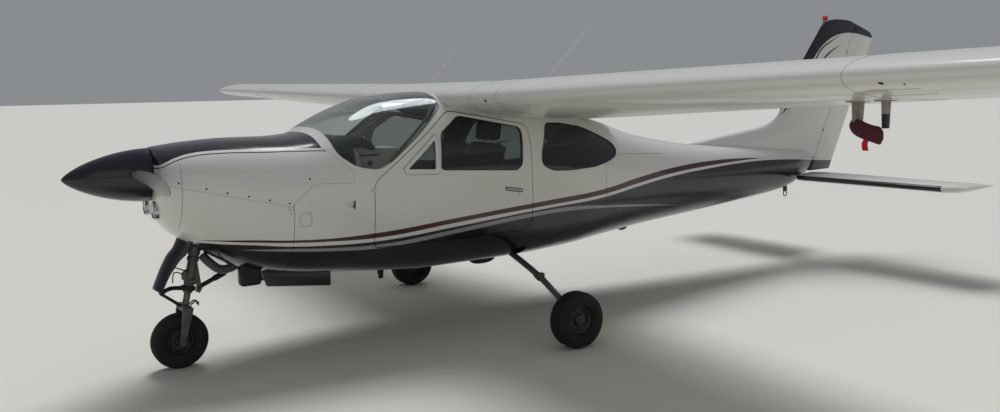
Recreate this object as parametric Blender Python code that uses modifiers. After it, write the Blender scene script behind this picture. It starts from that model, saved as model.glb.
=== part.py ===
# A four-seat, high-wing light aircraft with retracting gear, parked with its wheels down.
# Units are metres. +X is the left (port) side, -Y the nose, +Y the tail and +Z up.
# Every length along Y is a station, measured aft of the nose wheel's axle. The airframe
# empty then moves the whole aircraft so that the origin lies under the middle of its box.
import math

import bmesh
import bpy
from mathutils import Matrix, Vector

for old in list(bpy.data.objects):
    bpy.data.objects.remove(old, do_unlink=True)

# Gaps
TOUCH = 0.0003
PANEL_GAP = 0.0004
DOOR_GAP = 0.0065
SURFACE_GAP = 0.009
BEARING_GAP = 0.0008

# Overall stations
NOSE_TIP_Y = -0.655
THRUST_Z = 1.29

# Fuselage
COWL_WALL = 0.012
CABIN_WALL = 0.034
TAIL_WALL = 0.006
GLASS_WALL = 0.006
RING_POINTS = 20
COWL_END_Y = 0.62
CABIN_END_Y = 3.42
SILL_Z = 0.70
FLOOR_Z = 0.60
FLOOR_THICK = 0.02

# Fuselage sections: station, keel height, crown height, half width, height of the widest
# point, roundness exponent above it and below it, and how far the ring leans aft.
BODY = (
    (-0.12, 0.990, 1.468, 0.330, 1.270, 2.2, 2.2, 0.0),
    (-0.04, 0.900, 1.478, 0.380, 1.245, 2.2, 2.2, 0.0),
    (0.07, 0.822, 1.490, 0.425, 1.215, 2.3, 2.3, 0.0),
    (0.35, 0.640, 1.503, 0.500, 1.160, 2.5, 2.5, 0.0),
    (0.62, 0.572, 1.500, 0.545, 1.130, 2.7, 2.8, 0.0),
    (0.84, 0.545, 1.516, 0.570, 1.120, 2.7, 3.0, 0.0),
    (0.95, 0.535, 1.585, 0.580, 1.110, 2.7, 3.0, 0.0),
    (1.21, 0.510, 1.705, 0.596, 1.100, 2.7, 3.1, 0.0),
    (1.39, 0.496, 1.757, 0.604, 1.090, 2.8, 3.2, 0.0),
    (1.75, 0.474, 1.787, 0.610, 1.080, 3.0, 3.2, 0.0),
    (2.40, 0.474, 1.760, 0.610, 1.050, 3.0, 3.2, 0.0),
    (2.96, 0.490, 1.655, 0.575, 1.020, 2.8, 3.0, 0.0),
    (3.42, 0.525, 1.520, 0.500, 1.000, 2.6, 2.8, 0.0),
    (3.90, 0.558, 1.370, 0.410, 0.970, 2.5, 2.6, 0.0),
    (4.70, 0.605, 1.235, 0.300, 0.930, 2.3, 2.4, 0.0),
    (5.85, 0.688, 1.140, 0.165, 0.930, 2.2, 2.2, 0.0),
    (6.18, 0.735, 1.115, 0.125, 0.940, 2.2, 2.2, 0.25),
    (6.47, 0.830, 1.080, 0.050, 0.960, 2.0, 2.0, 0.52),
)

# Wing: sections at the root and at the tip rib
WING_ROOT_X = 0.62
WING_TIP_X = 5.41
WING_TIP_ROUND = 0.14
WING_LE_Y = 1.79
WING_ROOT_LE_Z = 1.735
DIHEDRAL = 0.025
ROOT_CHORD = 1.70
TIP_CHORD = 1.28
ROOT_THICK = 0.16
TIP_THICK = 0.12
CAMBER = 0.02
ROOT_INCIDENCE = math.radians(6.2)
TIP_INCIDENCE = math.radians(3.4)
WING_SKIN = 0.006
TAIL_SKIN = 0.005
VENT_RADIUS = 0.012
SPAR_FRACTION = 0.65
FLAP_HINGE = 0.74
FLAP_X = (0.70, 3.00)
AILERON_X = (3.014, 4.98)
HINGE_RADIUS = 0.012
HINGE_WIDTH = 0.020
HINGE_SIDE_GAP = 0.006

# Tail: fin sections by height, with leading edge station and half thickness
FIN = (
    (1.100, 4.60, 0.060),
    (1.235, 4.72, 0.058),
    (1.346, 5.67, 0.054),
    (1.400, 5.88, 0.052),
    (1.470, 6.00, 0.050),
    (2.060, 6.42, 0.040),
    (2.400, 6.71, 0.034),
    (2.450, 6.79, 0.028),
    (2.472, 6.86, 0.018),
)
RUDDER_FOOT = (6.50, 0.86)
RUDDER_HEAD = (7.25, 2.36)
RUDDER_TE_HEAD_Z = 2.30
RUDDER_CHORD_FOOT = 0.34
RUDDER_CHORD_HEAD = 0.40
RUDDER_NOSE_FOOT = 0.034
RUDDER_NOSE_HEAD = 0.028
RUDDER_GAP = 0.014
RUDDER_LEAN = (RUDDER_HEAD[0] - RUDDER_FOOT[0]) / (RUDDER_HEAD[1] - RUDDER_FOOT[1])
TAIL_TIP_Y = RUDDER_FOOT[0] + RUDDER_LEAN * (RUDDER_TE_HEAD_Z - RUDDER_FOOT[1]) + RUDDER_CHORD_HEAD
TAIL_CAP = ((TAIL_TIP_Y - 0.50, 2.472), (TAIL_TIP_Y - 0.05, 2.347), (TAIL_TIP_Y, RUDDER_TE_HEAD_Z),
            (TAIL_TIP_Y + 0.28, 2.200), (TAIL_TIP_Y + 0.28, 2.80), (TAIL_TIP_Y - 0.50, 2.80))
STAB_PIVOT_Y = 6.27
STAB_Z = 0.82
STAB_ROOT_X = 0.165
STAB_TIP_X = 1.80
STAB_ROOT_LE_Y = 6.085
STAB_TIP_LE_Y = 6.165
STAB_TE_Y = 6.80
STAB_THICK = 0.09
STAB_TUBE_RADIUS = 0.030

# Propeller
SPINNER_BASE_Y = -0.157
SPINNER_RADIUS = 0.171
BLADE_Y = -0.235
BLADE_TIP_X = 0.99
SHAFT_RADIUS = 0.055
NOSE_HOLE_RADIUS = 0.085

# Engine block and its bearers
ENGINE_HALF_WIDTH = 0.31
ENGINE_Y = (0.07, 0.58)
ENGINE_Z = (0.95, 1.385)
BEARER_HALF_SPAN = 0.17
BEARER_SIZE = 0.04

# Main wheels
TRACK_HALF = 1.232
MAIN_AXLE_Y = 2.357
MAIN_TYRE_RADIUS = 0.193
MAIN_TYRE_WIDTH = 0.155
MAIN_RIM_RADIUS = 0.082
MAIN_AXLE_RADIUS = 0.019
LEG_RADIUS = 0.019
LEG_START_X = 0.13
SADDLE_HALF = 0.1252

# Nose wheel
NOSE_TYRE_RADIUS = 0.1805
NOSE_TYRE_WIDTH = 0.126
NOSE_RIM_RADIUS = 0.070
NOSE_AXLE_RADIUS = 0.012
STRUT_LEAN = math.radians(11.3)
STRUT_RADIUS = 0.0325
STRUT_FOOT = 0.315
STRUT_HEAD = 0.830
PISTON_RADIUS = 0.022
WHEEL_STEPS = 18

# Cabin doors turn about an upright line at the front edge, just outside the skin
DOOR_HINGE = (0.606, 1.158, 0.95)
DOOR_HINGE_Z = (0.86, 1.13)
DOOR_PIN_RADIUS = 0.0045
DOOR_KNUCKLE_RADIUS = 0.009
DOOR_KNUCKLE_HALF = 0.0122

# Side view outlines, as (station, height)
UPPER_COWL = ((-0.40, 2.10), (-0.40, 1.31), (0.60, 1.068), (0.757, 1.203), (1.02, 1.192),
              (1.024, 1.264), (0.852, 1.425), (0.842, 1.56), (0.842, 2.10))
WINDSHIELD = ((0.905, 2.10), (0.905, 1.54), (0.928, 1.385), (1.045, 1.295), (1.203, 1.264),
              (1.285, 1.300), (1.505, 1.468), (1.611, 1.556), (1.755, 1.674), (1.768, 1.735), (1.768, 2.10))
DOOR = ((1.165, 0.735), (1.165, 1.178), (1.790, 1.644), (2.430, 1.525), (2.445, 1.440),
        (2.445, 0.800), (2.380, 0.735))
DOOR_WINDOW = ((1.668, 1.232), (1.688, 1.490), (1.862, 1.610), (2.370, 1.508), (2.386, 1.462),
               (2.362, 1.225), (2.315, 1.188))
VENT_WINDOW = ((1.400, 1.245), (1.612, 1.462), (1.612, 1.235))
REAR_WINDOW = ((2.560, 1.225), (2.560, 1.300), (2.640, 1.524), (2.800, 1.522), (3.050, 1.482),
               (3.320, 1.375), (3.375, 1.285), (3.310, 1.232), (2.960, 1.190), (2.660, 1.178))

COLOURS = {
    "white_paint": (0.72, 0.70, 0.64, 0.35, 0.0),
    "cowl_paint": (0.72, 0.70, 0.64, 0.35, 0.0),
    "navy_paint": (0.010, 0.013, 0.030, 0.25, 0.0),
    "clear_acrylic": (0.30, 0.33, 0.34, 0.08, 0.0),
    "grey_steel": (0.30, 0.30, 0.29, 0.45, 0.8),
    "bare_aluminium": (0.55, 0.55, 0.56, 0.40, 1.0),
    "tyre_rubber": (0.012, 0.012, 0.013, 0.80, 0.0),
    "blade_paint": (0.060, 0.060, 0.064, 0.40, 0.0),
    "seat_leather": (0.020, 0.028, 0.055, 0.50, 0.0),
    "trim_plastic": (0.40, 0.39, 0.36, 0.60, 0.0),
    "dark_plastic": (0.020, 0.020, 0.022, 0.60, 0.0),
    "engine_casting": (0.22, 0.22, 0.23, 0.60, 0.5),
}

parts = bpy.data.collections.new("light_aircraft")
cutters = bpy.data.collections.new("cutters")
for folder in (parts, cutters):
    bpy.context.scene.collection.children.link(folder)

airframe = bpy.data.objects.new("airframe_datum", None)
airframe.location = (0.0, -(NOSE_TIP_Y + TAIL_TIP_Y) / 2, 0.0)
parts.objects.link(airframe)

materials = {}
for name, (red, green, blue, roughness, metallic) in COLOURS.items():
    paint = bpy.data.materials.new(name)
    paint.use_nodes = True
    shader = paint.node_tree.nodes["Principled BSDF"]
    shader.inputs["Base Color"].default_value = (red, green, blue, 1.0)
    shader.inputs["Roughness"].default_value = roughness
    shader.inputs["Metallic"].default_value = metallic
    materials[name] = paint


# Helpers that place objects
def add(name, mesh, paint, pivot=(0.0, 0.0, 0.0), turn=(0.0, 0.0, 0.0)):
    obj = bpy.data.objects.new(name, mesh)
    obj.location = pivot
    obj.rotation_euler = turn
    obj.parent = airframe
    if paint is None:
        cutters.objects.link(obj)
        obj.hide_render = True
        obj.display_type = "WIRE"
    else:
        parts.objects.link(obj)
        mesh.materials.append(materials[paint])
    return obj


def solid(name, bm, paint, pivot=(0.0, 0.0, 0.0)):
    """A closed mesh in station coordinates, with its object's origin at the pivot."""
    bmesh.ops.translate(bm, vec=-Vector(pivot), verts=bm.verts)
    mesh = bpy.data.meshes.new(name)
    bm.to_mesh(mesh)
    bm.free()
    mesh.shade_smooth()
    mesh.set_sharp_from_angle(angle=math.radians(35))
    return add(name, mesh, paint, pivot)


def cutter(name, bm):
    return solid(name, bm, None)


def combine(obj, tool, operation):
    step = obj.modifiers.new(operation.lower() + "_" + tool.name, "BOOLEAN")
    step.operation = operation
    step.object = tool
    step.solver = "EXACT"
    return obj


def cut(obj, *tools):
    for tool in tools:
        combine(obj, tool, "DIFFERENCE")
    return obj


def keep(obj, tool):
    return combine(obj, tool, "INTERSECT")


def join(obj, *tools):
    for tool in tools:
        combine(obj, tool, "UNION")
    return obj


# Helpers that make shapes
def close(bm):
    bmesh.ops.recalc_face_normals(bm, faces=bm.faces)
    return bm


def prism(outline, low, high, axis="X"):
    """An outline extruded along one axis. The outline is in the other two axes, in order."""
    order = {"X": lambda a, b, t: (t, a, b), "Y": lambda a, b, t: (a, t, b), "Z": lambda a, b, t: (a, b, t)}
    place = order[axis]
    bm = bmesh.new()
    face = bm.faces.new([bm.verts.new(place(a, b, low)) for a, b in outline])
    lifted = bmesh.ops.extrude_face_region(bm, geom=[face])
    moved = [item for item in lifted["geom"] if isinstance(item, bmesh.types.BMVert)]
    bmesh.ops.translate(bm, vec=Vector(place(0.0, 0.0, high - low)), verts=moved)
    return close(bm)


def box(low, high):
    bm = bmesh.new()
    bmesh.ops.create_cube(bm, size=1.0)
    size = [b - a for a, b in zip(low, high)]
    bmesh.ops.scale(bm, vec=size, verts=bm.verts)
    bmesh.ops.translate(bm, vec=[(a + b) / 2 for a, b in zip(low, high)], verts=bm.verts)
    return bm


def soft_box(low, high, radius, segments=2):
    bm = box(low, high)
    bmesh.ops.bevel(bm, geom=bm.edges[:], offset=radius, segments=segments, profile=0.5,
                    affect="EDGES", clamp_overlap=True)
    return bm


def rod(start, end, radius, steps=16, radius_end=None):
    start = Vector(start)
    end = Vector(end)
    along = end - start
    bm = bmesh.new()
    bmesh.ops.create_cone(bm, cap_ends=True, segments=steps, radius1=radius,
                          radius2=radius if radius_end is None else radius_end, depth=along.length)
    turn = along.to_track_quat("Z", "Y").to_matrix().to_4x4()
    bmesh.ops.transform(bm, matrix=Matrix.Translation((start + end) / 2) @ turn, verts=bm.verts)
    return bm


def rounded(outline, radius, steps=3):
    """The outline with each corner turned into a short curve."""
    points = []
    count = len(outline)
    for index, corner in enumerate(outline):
        here = Vector(corner)
        back = Vector(outline[index - 1]) - here
        ahead = Vector(outline[(index + 1) % count]) - here
        reach = min(radius, back.length * 0.45, ahead.length * 0.45)
        first = here + back.normalized() * reach
        last = here + ahead.normalized() * reach
        for step in range(steps + 1):
            t = step / steps
            points.append(tuple(first * (1 - t) ** 2 + here * 2 * t * (1 - t) + last * t ** 2))
    return points


def offset(outline, distance):
    """The outline grown by a distance (shrunk when it is negative)."""
    area = sum(a[0] * b[1] - b[0] * a[1] for a, b in zip(outline, outline[1:] + outline[:1]))
    side = 1.0 if area > 0 else -1.0
    grown = []
    count = len(outline)
    for index, corner in enumerate(outline):
        here = Vector(corner)
        into = (here - Vector(outline[index - 1])).normalized()
        out = (Vector(outline[(index + 1) % count]) - here).normalized()
        normal_in = Vector((into.y, -into.x)) * side
        normal_out = Vector((out.y, -out.x)) * side
        middle = (normal_in + normal_out).normalized()
        grown.append(tuple(here + middle * distance / max(0.4, middle.dot(normal_in))))
    return grown


def loft(rings, cap_first=True, cap_last=True, closed=True):
    """Triangles between rings of equal count, split alike on both sides of the centre plane.

    It is made by hand, because the sections are unlike.
    """
    bm = bmesh.new()
    rows = [[bm.verts.new(point) for point in ring] for ring in rings]
    count = len(rows[0])
    for row, following in zip(rows, rows[1:]):
        for index in range(count):
            after = (index + 1) % count
            corners = (row[index], following[index], following[after], row[after])
            if row[index].co.x + row[after].co.x < 0:
                corners = corners[1:] + corners[:1]
            bm.faces.new((corners[0], corners[1], corners[2]))
            bm.faces.new((corners[0], corners[2], corners[3]))
    if cap_first:
        bm.faces.new(rows[0])
    if cap_last:
        bm.faces.new(list(reversed(rows[-1])))
    if closed:
        close(bm)
    return bm


def tube(name, points, radius, paint, resolution=3):
    """A round rod along a line of points, made a mesh so that it can be joined and cut."""
    curve = bpy.data.curves.new(name, "CURVE")
    curve.dimensions = "3D"
    curve.bevel_depth = radius
    curve.bevel_resolution = resolution
    curve.use_fill_caps = True
    spline = curve.splines.new("POLY")
    spline.points.add(len(points) - 1)
    for point, place in zip(spline.points, points):
        point.co = (*place, 1.0)
    guide = bpy.data.objects.new(name + "_guide", curve)
    cutters.objects.link(guide)
    view = bpy.context.evaluated_depsgraph_get()
    mesh = bpy.data.meshes.new_from_object(guide.evaluated_get(view))
    bpy.data.objects.remove(guide, do_unlink=True)
    bm = bmesh.new()
    bm.from_mesh(mesh)
    bmesh.ops.remove_doubles(bm, verts=bm.verts, dist=0.00005)
    close(bm)
    bm.to_mesh(mesh)
    bm.free()
    mesh.name = name
    mesh.materials.clear()
    mesh.shade_smooth()
    mesh.set_sharp_from_angle(angle=math.radians(35))
    return add(name, mesh, paint)


def turned(name, profile, paint, centre, steps=WHEEL_STEPS, closed=False, turn=(0.0, math.pi / 2, 0.0)):
    """A profile of (radius, height) spun about its object's own Z axis."""
    mesh = bpy.data.meshes.new(name)
    edges = [(index, index + 1) for index in range(len(profile) - 1)]
    if closed:
        edges.append((len(profile) - 1, 0))
    mesh.from_pydata([(radius, 0.0, height) for radius, height in profile], edges, [])
    obj = add(name, mesh, paint, centre, turn)
    spin = obj.modifiers.new("spin", "SCREW")
    spin.axis = "Z"
    spin.angle = 2 * math.pi
    spin.steps = steps
    spin.render_steps = steps
    spin.use_merge_vertices = True
    spin.merge_threshold = 0.0001
    spin.use_smooth_shade = True
    return obj


def twin(obj, name):
    """The right hand piece: the finished left one, mirrored through the centre plane."""
    bpy.context.view_layer.update()
    view = bpy.context.evaluated_depsgraph_get()
    mesh = bpy.data.meshes.new_from_object(obj.evaluated_get(view))
    flip = Matrix.Scale(-1.0, 4, (1.0, 0.0, 0.0))
    pivot = flip @ Vector(obj.location)
    mesh.transform(Matrix.Translation(-pivot) @ flip @ obj.matrix_basis)
    mesh.flip_normals()
    mesh.name = name
    copy = bpy.data.objects.new(name, mesh)
    copy.location = pivot
    copy.parent = airframe
    parts.objects.link(copy)
    return copy


# Fuselage skin
def body_at(station):
    """The body table read at a station, with smooth slopes through its rows."""
    rows = BODY
    if station <= rows[0][0]:
        return rows[0][1:]
    if station >= rows[-1][0]:
        return rows[-1][1:]
    index = max(i for i in range(len(rows) - 1) if rows[i][0] <= station)
    low = rows[index]
    high = rows[index + 1]
    span = high[0] - low[0]
    t = (station - low[0]) / span
    before = rows[max(index - 1, 0)]
    beyond = rows[min(index + 2, len(rows) - 1)]
    values = []
    for column in range(1, len(low)):
        start = slope(before, low, high, column)
        end = slope(low, high, beyond, column)
        a = 2 * t ** 3 - 3 * t ** 2 + 1
        b = t ** 3 - 2 * t ** 2 + t
        c = -2 * t ** 3 + 3 * t ** 2
        d = t ** 3 - t ** 2
        values.append(a * low[column] + b * span * start + c * high[column] + d * span * end)
    return tuple(values)


def slope(before, here, after, column):
    """A gentle slope at a row: none at a crest, else the harmonic mean of both sides."""
    if before is here or after is here:
        other = after if before is here else before
        return (other[column] - here[column]) / (other[0] - here[0])
    back = (here[column] - before[column]) / (here[0] - before[0])
    ahead = (after[column] - here[column]) / (after[0] - here[0])
    if back * ahead <= 0:
        return 0.0
    return 2 * back * ahead / (back + ahead)


def body_ring(station, inset=0.0):
    keel, crown, half, waist, upper, lower, lean = body_at(station)
    ring = []
    for index in range(RING_POINTS):
        angle = 2 * math.pi * index / RING_POINTS
        across = math.cos(angle)
        up = math.sin(angle)
        power = 2 / (upper if up >= 0 else lower)
        reach = crown - waist if up >= 0 else waist - keel
        x = (half - inset) * math.copysign(abs(across) ** power, across)
        z = waist + (reach - inset) * math.copysign(abs(up) ** power, up)
        ring.append((x, station + lean * (z - waist), z))
    return ring


def stations(first, last, extra=()):
    """The table's stations between two ends, with more where the crown bends."""
    marks = {first, last, *extra}
    marks.update(row[0] for row in BODY if first < row[0] < last)
    return sorted(marks)


def skin(name, marks, wall, paint, pivot=(0.0, 0.0, 0.0), cap_last=False):
    """The outer skin between stations, thickened inwards."""
    bm = loft([body_ring(mark) for mark in marks], False, cap_last, closed=False)
    obj = solid(name, bm, paint, pivot)
    wall_step = obj.modifiers.new("wall", "SOLIDIFY")
    wall_step.thickness = wall
    wall_step.offset = -1.0
    return obj


def plug(name, marks, inset):
    """A solid that fills the body, grown when the inset is negative."""
    return cutter(name, loft([body_ring(mark, inset) for mark in marks]))


CABIN_MARKS = stations(COWL_END_Y, CABIN_END_Y, (1.08, 1.57, 2.68))
WIDE = 0.9
INBOARD = 0.3
ABOVE_Z = 2.3
cowl_plug = plug("cowl_plug", stations(-0.12, 1.1, (0.2,)), -TOUCH)
cabin_plug = plug("cabin_plug", stations(0.45, 4.2, CABIN_MARKS), -TOUCH)
cabin_room = plug("cabin_room", CABIN_MARKS, CABIN_WALL / 2)
cabin_lining = skin("cabin_lining", CABIN_MARKS, CABIN_WALL + TOUCH, None)


def fit_cabin(obj):
    """Trim a piece to the inside of the cabin shell."""
    return cut(keep(obj, cabin_room), cabin_lining)


# Wing sections
def wing_at(x):
    t = (abs(x) - WING_ROOT_X) / (WING_TIP_X - WING_ROOT_X)
    t = max(0.0, t)
    chord = ROOT_CHORD + (TIP_CHORD - ROOT_CHORD) * t
    thick = ROOT_THICK + (TIP_THICK - ROOT_THICK) * t
    incidence = ROOT_INCIDENCE + (TIP_INCIDENCE - ROOT_INCIDENCE) * t
    rise = DIHEDRAL * max(0.0, abs(x) - WING_ROOT_X)
    return chord, thick, incidence, WING_ROOT_LE_Z + rise


def half_thickness(fraction, thick):
    """The classic four-digit thickness curve, with a blunt trailing edge."""
    f = fraction
    curve = 0.2969 * math.sqrt(f) - 0.1260 * f - 0.3516 * f ** 2 + 0.2843 * f ** 3 - 0.1015 * f ** 4
    return 5 * thick * curve


def camber_height(fraction):
    peak = 0.4
    if fraction < peak:
        return CAMBER / peak ** 2 * (2 * peak * fraction - fraction ** 2)
    return CAMBER / (1 - peak) ** 2 * (1 - 2 * peak + 2 * peak * fraction - fraction ** 2)


def wing_point(x, fraction, height):
    """A point by chord fraction and by height above the chord line, in metres."""
    chord, thick, incidence, leading_z = wing_at(x)
    aft = fraction * chord
    y = WING_LE_Y + aft * math.cos(incidence) + height * math.sin(incidence)
    z = leading_z - aft * math.sin(incidence) + height * math.cos(incidence)
    return (x, y, z)


def surface_height(x, fraction, side, inset=0.0):
    chord, thick, incidence, leading_z = wing_at(x)
    half = half_thickness(fraction, thick) * chord - inset
    return camber_height(fraction) * chord + side * max(half, 0.0)


FULL_CHORD = (1.0, 0.88, 0.74, 0.55, 0.37, 0.22, 0.10, 0.03)


def wing_ring(x, fractions=FULL_CHORD, inset=0.0, nose=0.0, squash=1.0):
    """One wing section: over the top from the back, round the nose and back below."""
    top = [(f, 1) for f in fractions] + [(nose, 0)]
    bottom = [(f, -1) for f in reversed(fractions)]
    ring = []
    for fraction, side in top + bottom:
        middle = camber_height(fraction) * wing_at(x)[0]
        height = surface_height(x, fraction, side, inset) if side else middle
        ring.append(wing_point(x, fraction, middle + (height - middle) * squash))
    return ring


def hinge_frame(x):
    """Where a flap or aileron turns, and the radius of its nose there."""
    chord, thick, incidence, leading_z = wing_at(x)
    centre = Vector(wing_point(x, FLAP_HINGE, camber_height(FLAP_HINGE) * chord))
    return centre, half_thickness(FLAP_HINGE, thick) * chord, incidence


def nose_arc(centre, radius, incidence, steps=6):
    """Points from the top of a round nose, forward and down to its bottom."""
    arc = []
    for step in range(steps + 1):
        angle = math.pi / 2 + math.pi * step / steps - incidence
        arc.append((centre.x, centre.y + radius * math.cos(angle), centre.z + radius * math.sin(angle)))
    return arc


def flap_ring(x):
    centre, radius, incidence = hinge_frame(x)
    top = [wing_point(x, f, surface_height(x, f, 1)) for f in (1.0, 0.93, 0.84)]
    bottom = [wing_point(x, f, surface_height(x, f, -1)) for f in (0.84, 0.93, 1.0)]
    return top + nose_arc(centre, radius, incidence) + bottom


def flap_room_ring(x):
    """The hollow of a flap, aft of its hinges."""
    ahead = FLAP_HINGE + 0.03
    top = [wing_point(x, f, surface_height(x, f, 1, TAIL_SKIN)) for f in (0.95, ahead)]
    bottom = [wing_point(x, f, surface_height(x, f, -1, TAIL_SKIN)) for f in (ahead, 0.95)]
    return top + bottom


def cove_ring(x):
    """The room that a flap turns in, seen in section."""
    centre, radius, incidence = hinge_frame(x)
    reach = radius + SURFACE_GAP
    tall = 0.3
    aft = 0.9
    top = [(x, centre.y + aft, centre.z + tall), (x, centre.y, centre.z + tall)]
    bottom = [(x, centre.y, centre.z - tall), (x, centre.y + aft, centre.z - tall)]
    return top + nose_arc(centre, reach, incidence) + bottom


def keyhole(centre_y, centre_z, reach, radius, half_neck):
    """A round eye on a straight neck that runs forward, in a plane across the hinge."""
    turn = math.asin(half_neck / radius)
    outline = [(centre_y - reach, centre_z - half_neck)]
    for step in range(13):
        angle = -math.pi + turn + (2 * math.pi - 2 * turn) * step / 12
        outline.append((centre_y + radius * math.cos(angle), centre_z + radius * math.sin(angle)))
    outline.append((centre_y - reach, centre_z + half_neck))
    return outline


def slot_outline(centre_y, centre_z, reach, radius):
    """The notch in a moving surface that clears a keyhole arm at every angle."""
    outline = [(centre_y - reach, centre_z - reach), (centre_y, centre_z - reach)]
    for step in range(9):
        angle = -math.pi / 2 + math.pi * step / 8
        outline.append((centre_y + radius * math.cos(angle), centre_z + radius * math.sin(angle)))
    outline += [(centre_y, centre_z + reach), (centre_y - reach, centre_z + reach)]
    return outline


def hinge_places(span):
    length = span[1] - span[0]
    return (span[0] + 0.16 * length, span[1] - 0.16 * length)


def moving_surface(name, span):
    """A flap or aileron with its notches, and the wing's cove and hinge arms for it."""
    middle = (span[0] + span[1]) / 2
    rings = [flap_ring(x) for x in (span[0], middle, span[1])]
    surface = solid(name, loft(rings), "white_paint", hinge_frame(middle)[0])
    room = [flap_room_ring(x) for x in (span[0] + 0.02, span[1] - 0.02)]
    cut(surface, cutter(name + "_hollow", loft(room)))
    start = sum((Vector(point) for point in room[0]), Vector()) / len(room[0])
    vent = rod(start - Vector((0.1, 0.0, 0.0)), start + Vector((0.1, 0.0, 0.0)), VENT_RADIUS, 8)
    cut(surface, cutter(name + "_vent", vent))
    cove = loft([cove_ring(end) for end in (span[0] - SURFACE_GAP, span[1] + SURFACE_GAP)])
    cove_tool = cutter(name + "_cove", cove)
    arms = []
    for number, x in enumerate(hinge_places(span)):
        centre, radius, incidence = hinge_frame(x)
        half = HINGE_WIDTH / 2
        arm = prism(keyhole(centre.y, centre.z, radius + 0.035, HINGE_RADIUS, 0.007), x - half, x + half)
        arms.append(cutter(f"{name}_arm_{number}", arm))
        notch_half = half + HINGE_SIDE_GAP
        slot = prism(slot_outline(centre.y, centre.z, radius + 0.03, HINGE_RADIUS + BEARING_GAP),
                     x - notch_half, x + notch_half)
        cut(surface, cutter(f"{name}_slot_{number}", slot))
    return surface, cove_tool, arms


# Wings, flaps and ailerons
spans = (WING_ROOT_X + PANEL_GAP, 3.01, WING_TIP_X - WING_TIP_ROUND)
rings = [wing_ring(x) for x in spans]
rings.append(wing_ring(WING_TIP_X - 0.045, squash=0.72))
rings.append(wing_ring(WING_TIP_X, squash=0.25))
wing = solid("wing_left", loft(rings), "white_paint")
tank = (SPAR_FRACTION, 0.5, 0.36, 0.24, 0.13, 0.06)
hollow = [wing_ring(x, tank, WING_SKIN, nose=0.035) for x in (WING_ROOT_X - 0.1, 3.01, WING_TIP_X - 0.12)]
cut(wing, cutter("wing_hollow", loft(hollow)))
surfaces = {}
for name, span in (("flap_left", FLAP_X), ("aileron_left", AILERON_X)):
    surfaces[name], cove, arms = moving_surface(name, span)
    cut(wing, cove)
    join(wing, *arms)
twin(wing, "wing_right")
twin(surfaces["flap_left"], "flap_right")
twin(surfaces["aileron_left"], "aileron_right")

centre_rings = [wing_ring(x) for x in (-WING_ROOT_X, WING_ROOT_X)]
wing_centre = solid("wing_centre", loft(centre_rings), "white_paint")
between = (0.93, 0.74, 0.5, 0.36, 0.24, 0.13, 0.06)
hollow = [wing_ring(x, between, WING_SKIN, nose=0.035) for x in (-WING_ROOT_X - 0.1, WING_ROOT_X + 0.1)]
cut(wing_centre, cutter("centre_hollow", loft(hollow)))


def under_wing_outline(gap):
    """Everything above the centre section's lower skin, behind its nose, in side view."""
    ring = [(y, z) for x, y, z in wing_ring(WING_ROOT_X)]
    ring = offset(ring, gap)
    nose = min(range(len(ring)), key=lambda index: ring[index][0])
    lower = ring[nose - 3:]
    start = lower[0]
    return [(ring[0][0] + 0.3, 2.2), (start[0], 2.2)] + lower + [(ring[0][0] + 0.3, lower[-1][1] + 0.02)]


above_cabin = cutter("above_cabin", prism(under_wing_outline(TOUCH), -WIDE, WIDE))

# Cowls
nose_rings = []
NOSE_FACE_Y = -0.146
for inset, station in ((NOSE_HOLE_RADIUS, NOSE_FACE_Y), (0.21, NOSE_FACE_Y), (0.255, -0.140)):
    ring = []
    for index in range(RING_POINTS):
        angle = 2 * math.pi * index / RING_POINTS
        low_reach = inset * (1.0 if inset == NOSE_HOLE_RADIUS else 1.05)
        high_reach = min(inset, 0.172)
        tall = high_reach if math.sin(angle) >= 0 else low_reach
        ring.append((inset * math.cos(angle), station, THRUST_Z + tall * math.sin(angle)))
    nose_rings.append(ring)
cowl_marks = stations(-0.12, 1.06, (0.2,))


def cowl_skin(name):
    rings = nose_rings + [body_ring(mark) for mark in cowl_marks]
    obj = solid(name, loft(rings, False, False, closed=False), "cowl_paint")
    wall_step = obj.modifiers.new("wall", "SOLIDIFY")
    wall_step.thickness = COWL_WALL
    wall_step.offset = -1.0
    return obj


upper_tool = cutter("upper_cowl_region", prism(UPPER_COWL, -WIDE, WIDE))
upper_room = cutter("upper_cowl_room", prism(offset(list(UPPER_COWL), PANEL_GAP), -WIDE, WIDE))
front_tool = cutter("front_region", box((-WIDE, -0.4, 0.3), (WIDE, COWL_END_Y - PANEL_GAP, 2.2)))
inlets = []
for side in (1, -1):
    shape = rounded([(side * 0.105, 1.225), (side * 0.225, 1.215), (side * 0.262, 1.29),
                     (side * 0.215, 1.365), (side * 0.105, 1.365)], 0.04)
    inlets.append(cutter("inlet_tool", prism(shape, -0.3, -0.02, "Y")))
well_low = box((-0.10, 0.045, 0.3), (0.10, COWL_END_Y + 0.1, 0.90))
well_tool = cutter("nose_well_tool", well_low)
cowl_upper = cut(keep(cowl_skin("cowl_upper"), upper_tool), *inlets)
cowl_lower = cut(keep(cowl_skin("cowl_lower"), front_tool), upper_room, *inlets, well_tool)

# Cabin shell: side panels, belly, doors and glass
door_outline = offset(rounded(DOOR, 0.05), DOOR_GAP)
window_outline = rounded(DOOR_WINDOW, 0.035)
vent_outline = rounded(VENT_WINDOW, 0.015, 2)
rear_outline = rounded(REAR_WINDOW, 0.05)
shield_room = cutter("windshield_room", prism(offset(list(WINDSHIELD), TOUCH), -WIDE, WIDE))
belly_region = cutter("belly_region", box((-WIDE, COWL_END_Y - 0.1, 0.3), (WIDE, CABIN_END_Y + 0.1, SILL_Z)))
belly_well = cutter("belly_well", box((-0.10, COWL_END_Y - 0.2, 0.3), (0.10, 1.02, FLOOR_Z - 0.001)))
belly = keep(skin("belly", CABIN_MARKS, CABIN_WALL, "navy_paint"), belly_region)
cut(belly, belly_well)

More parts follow.
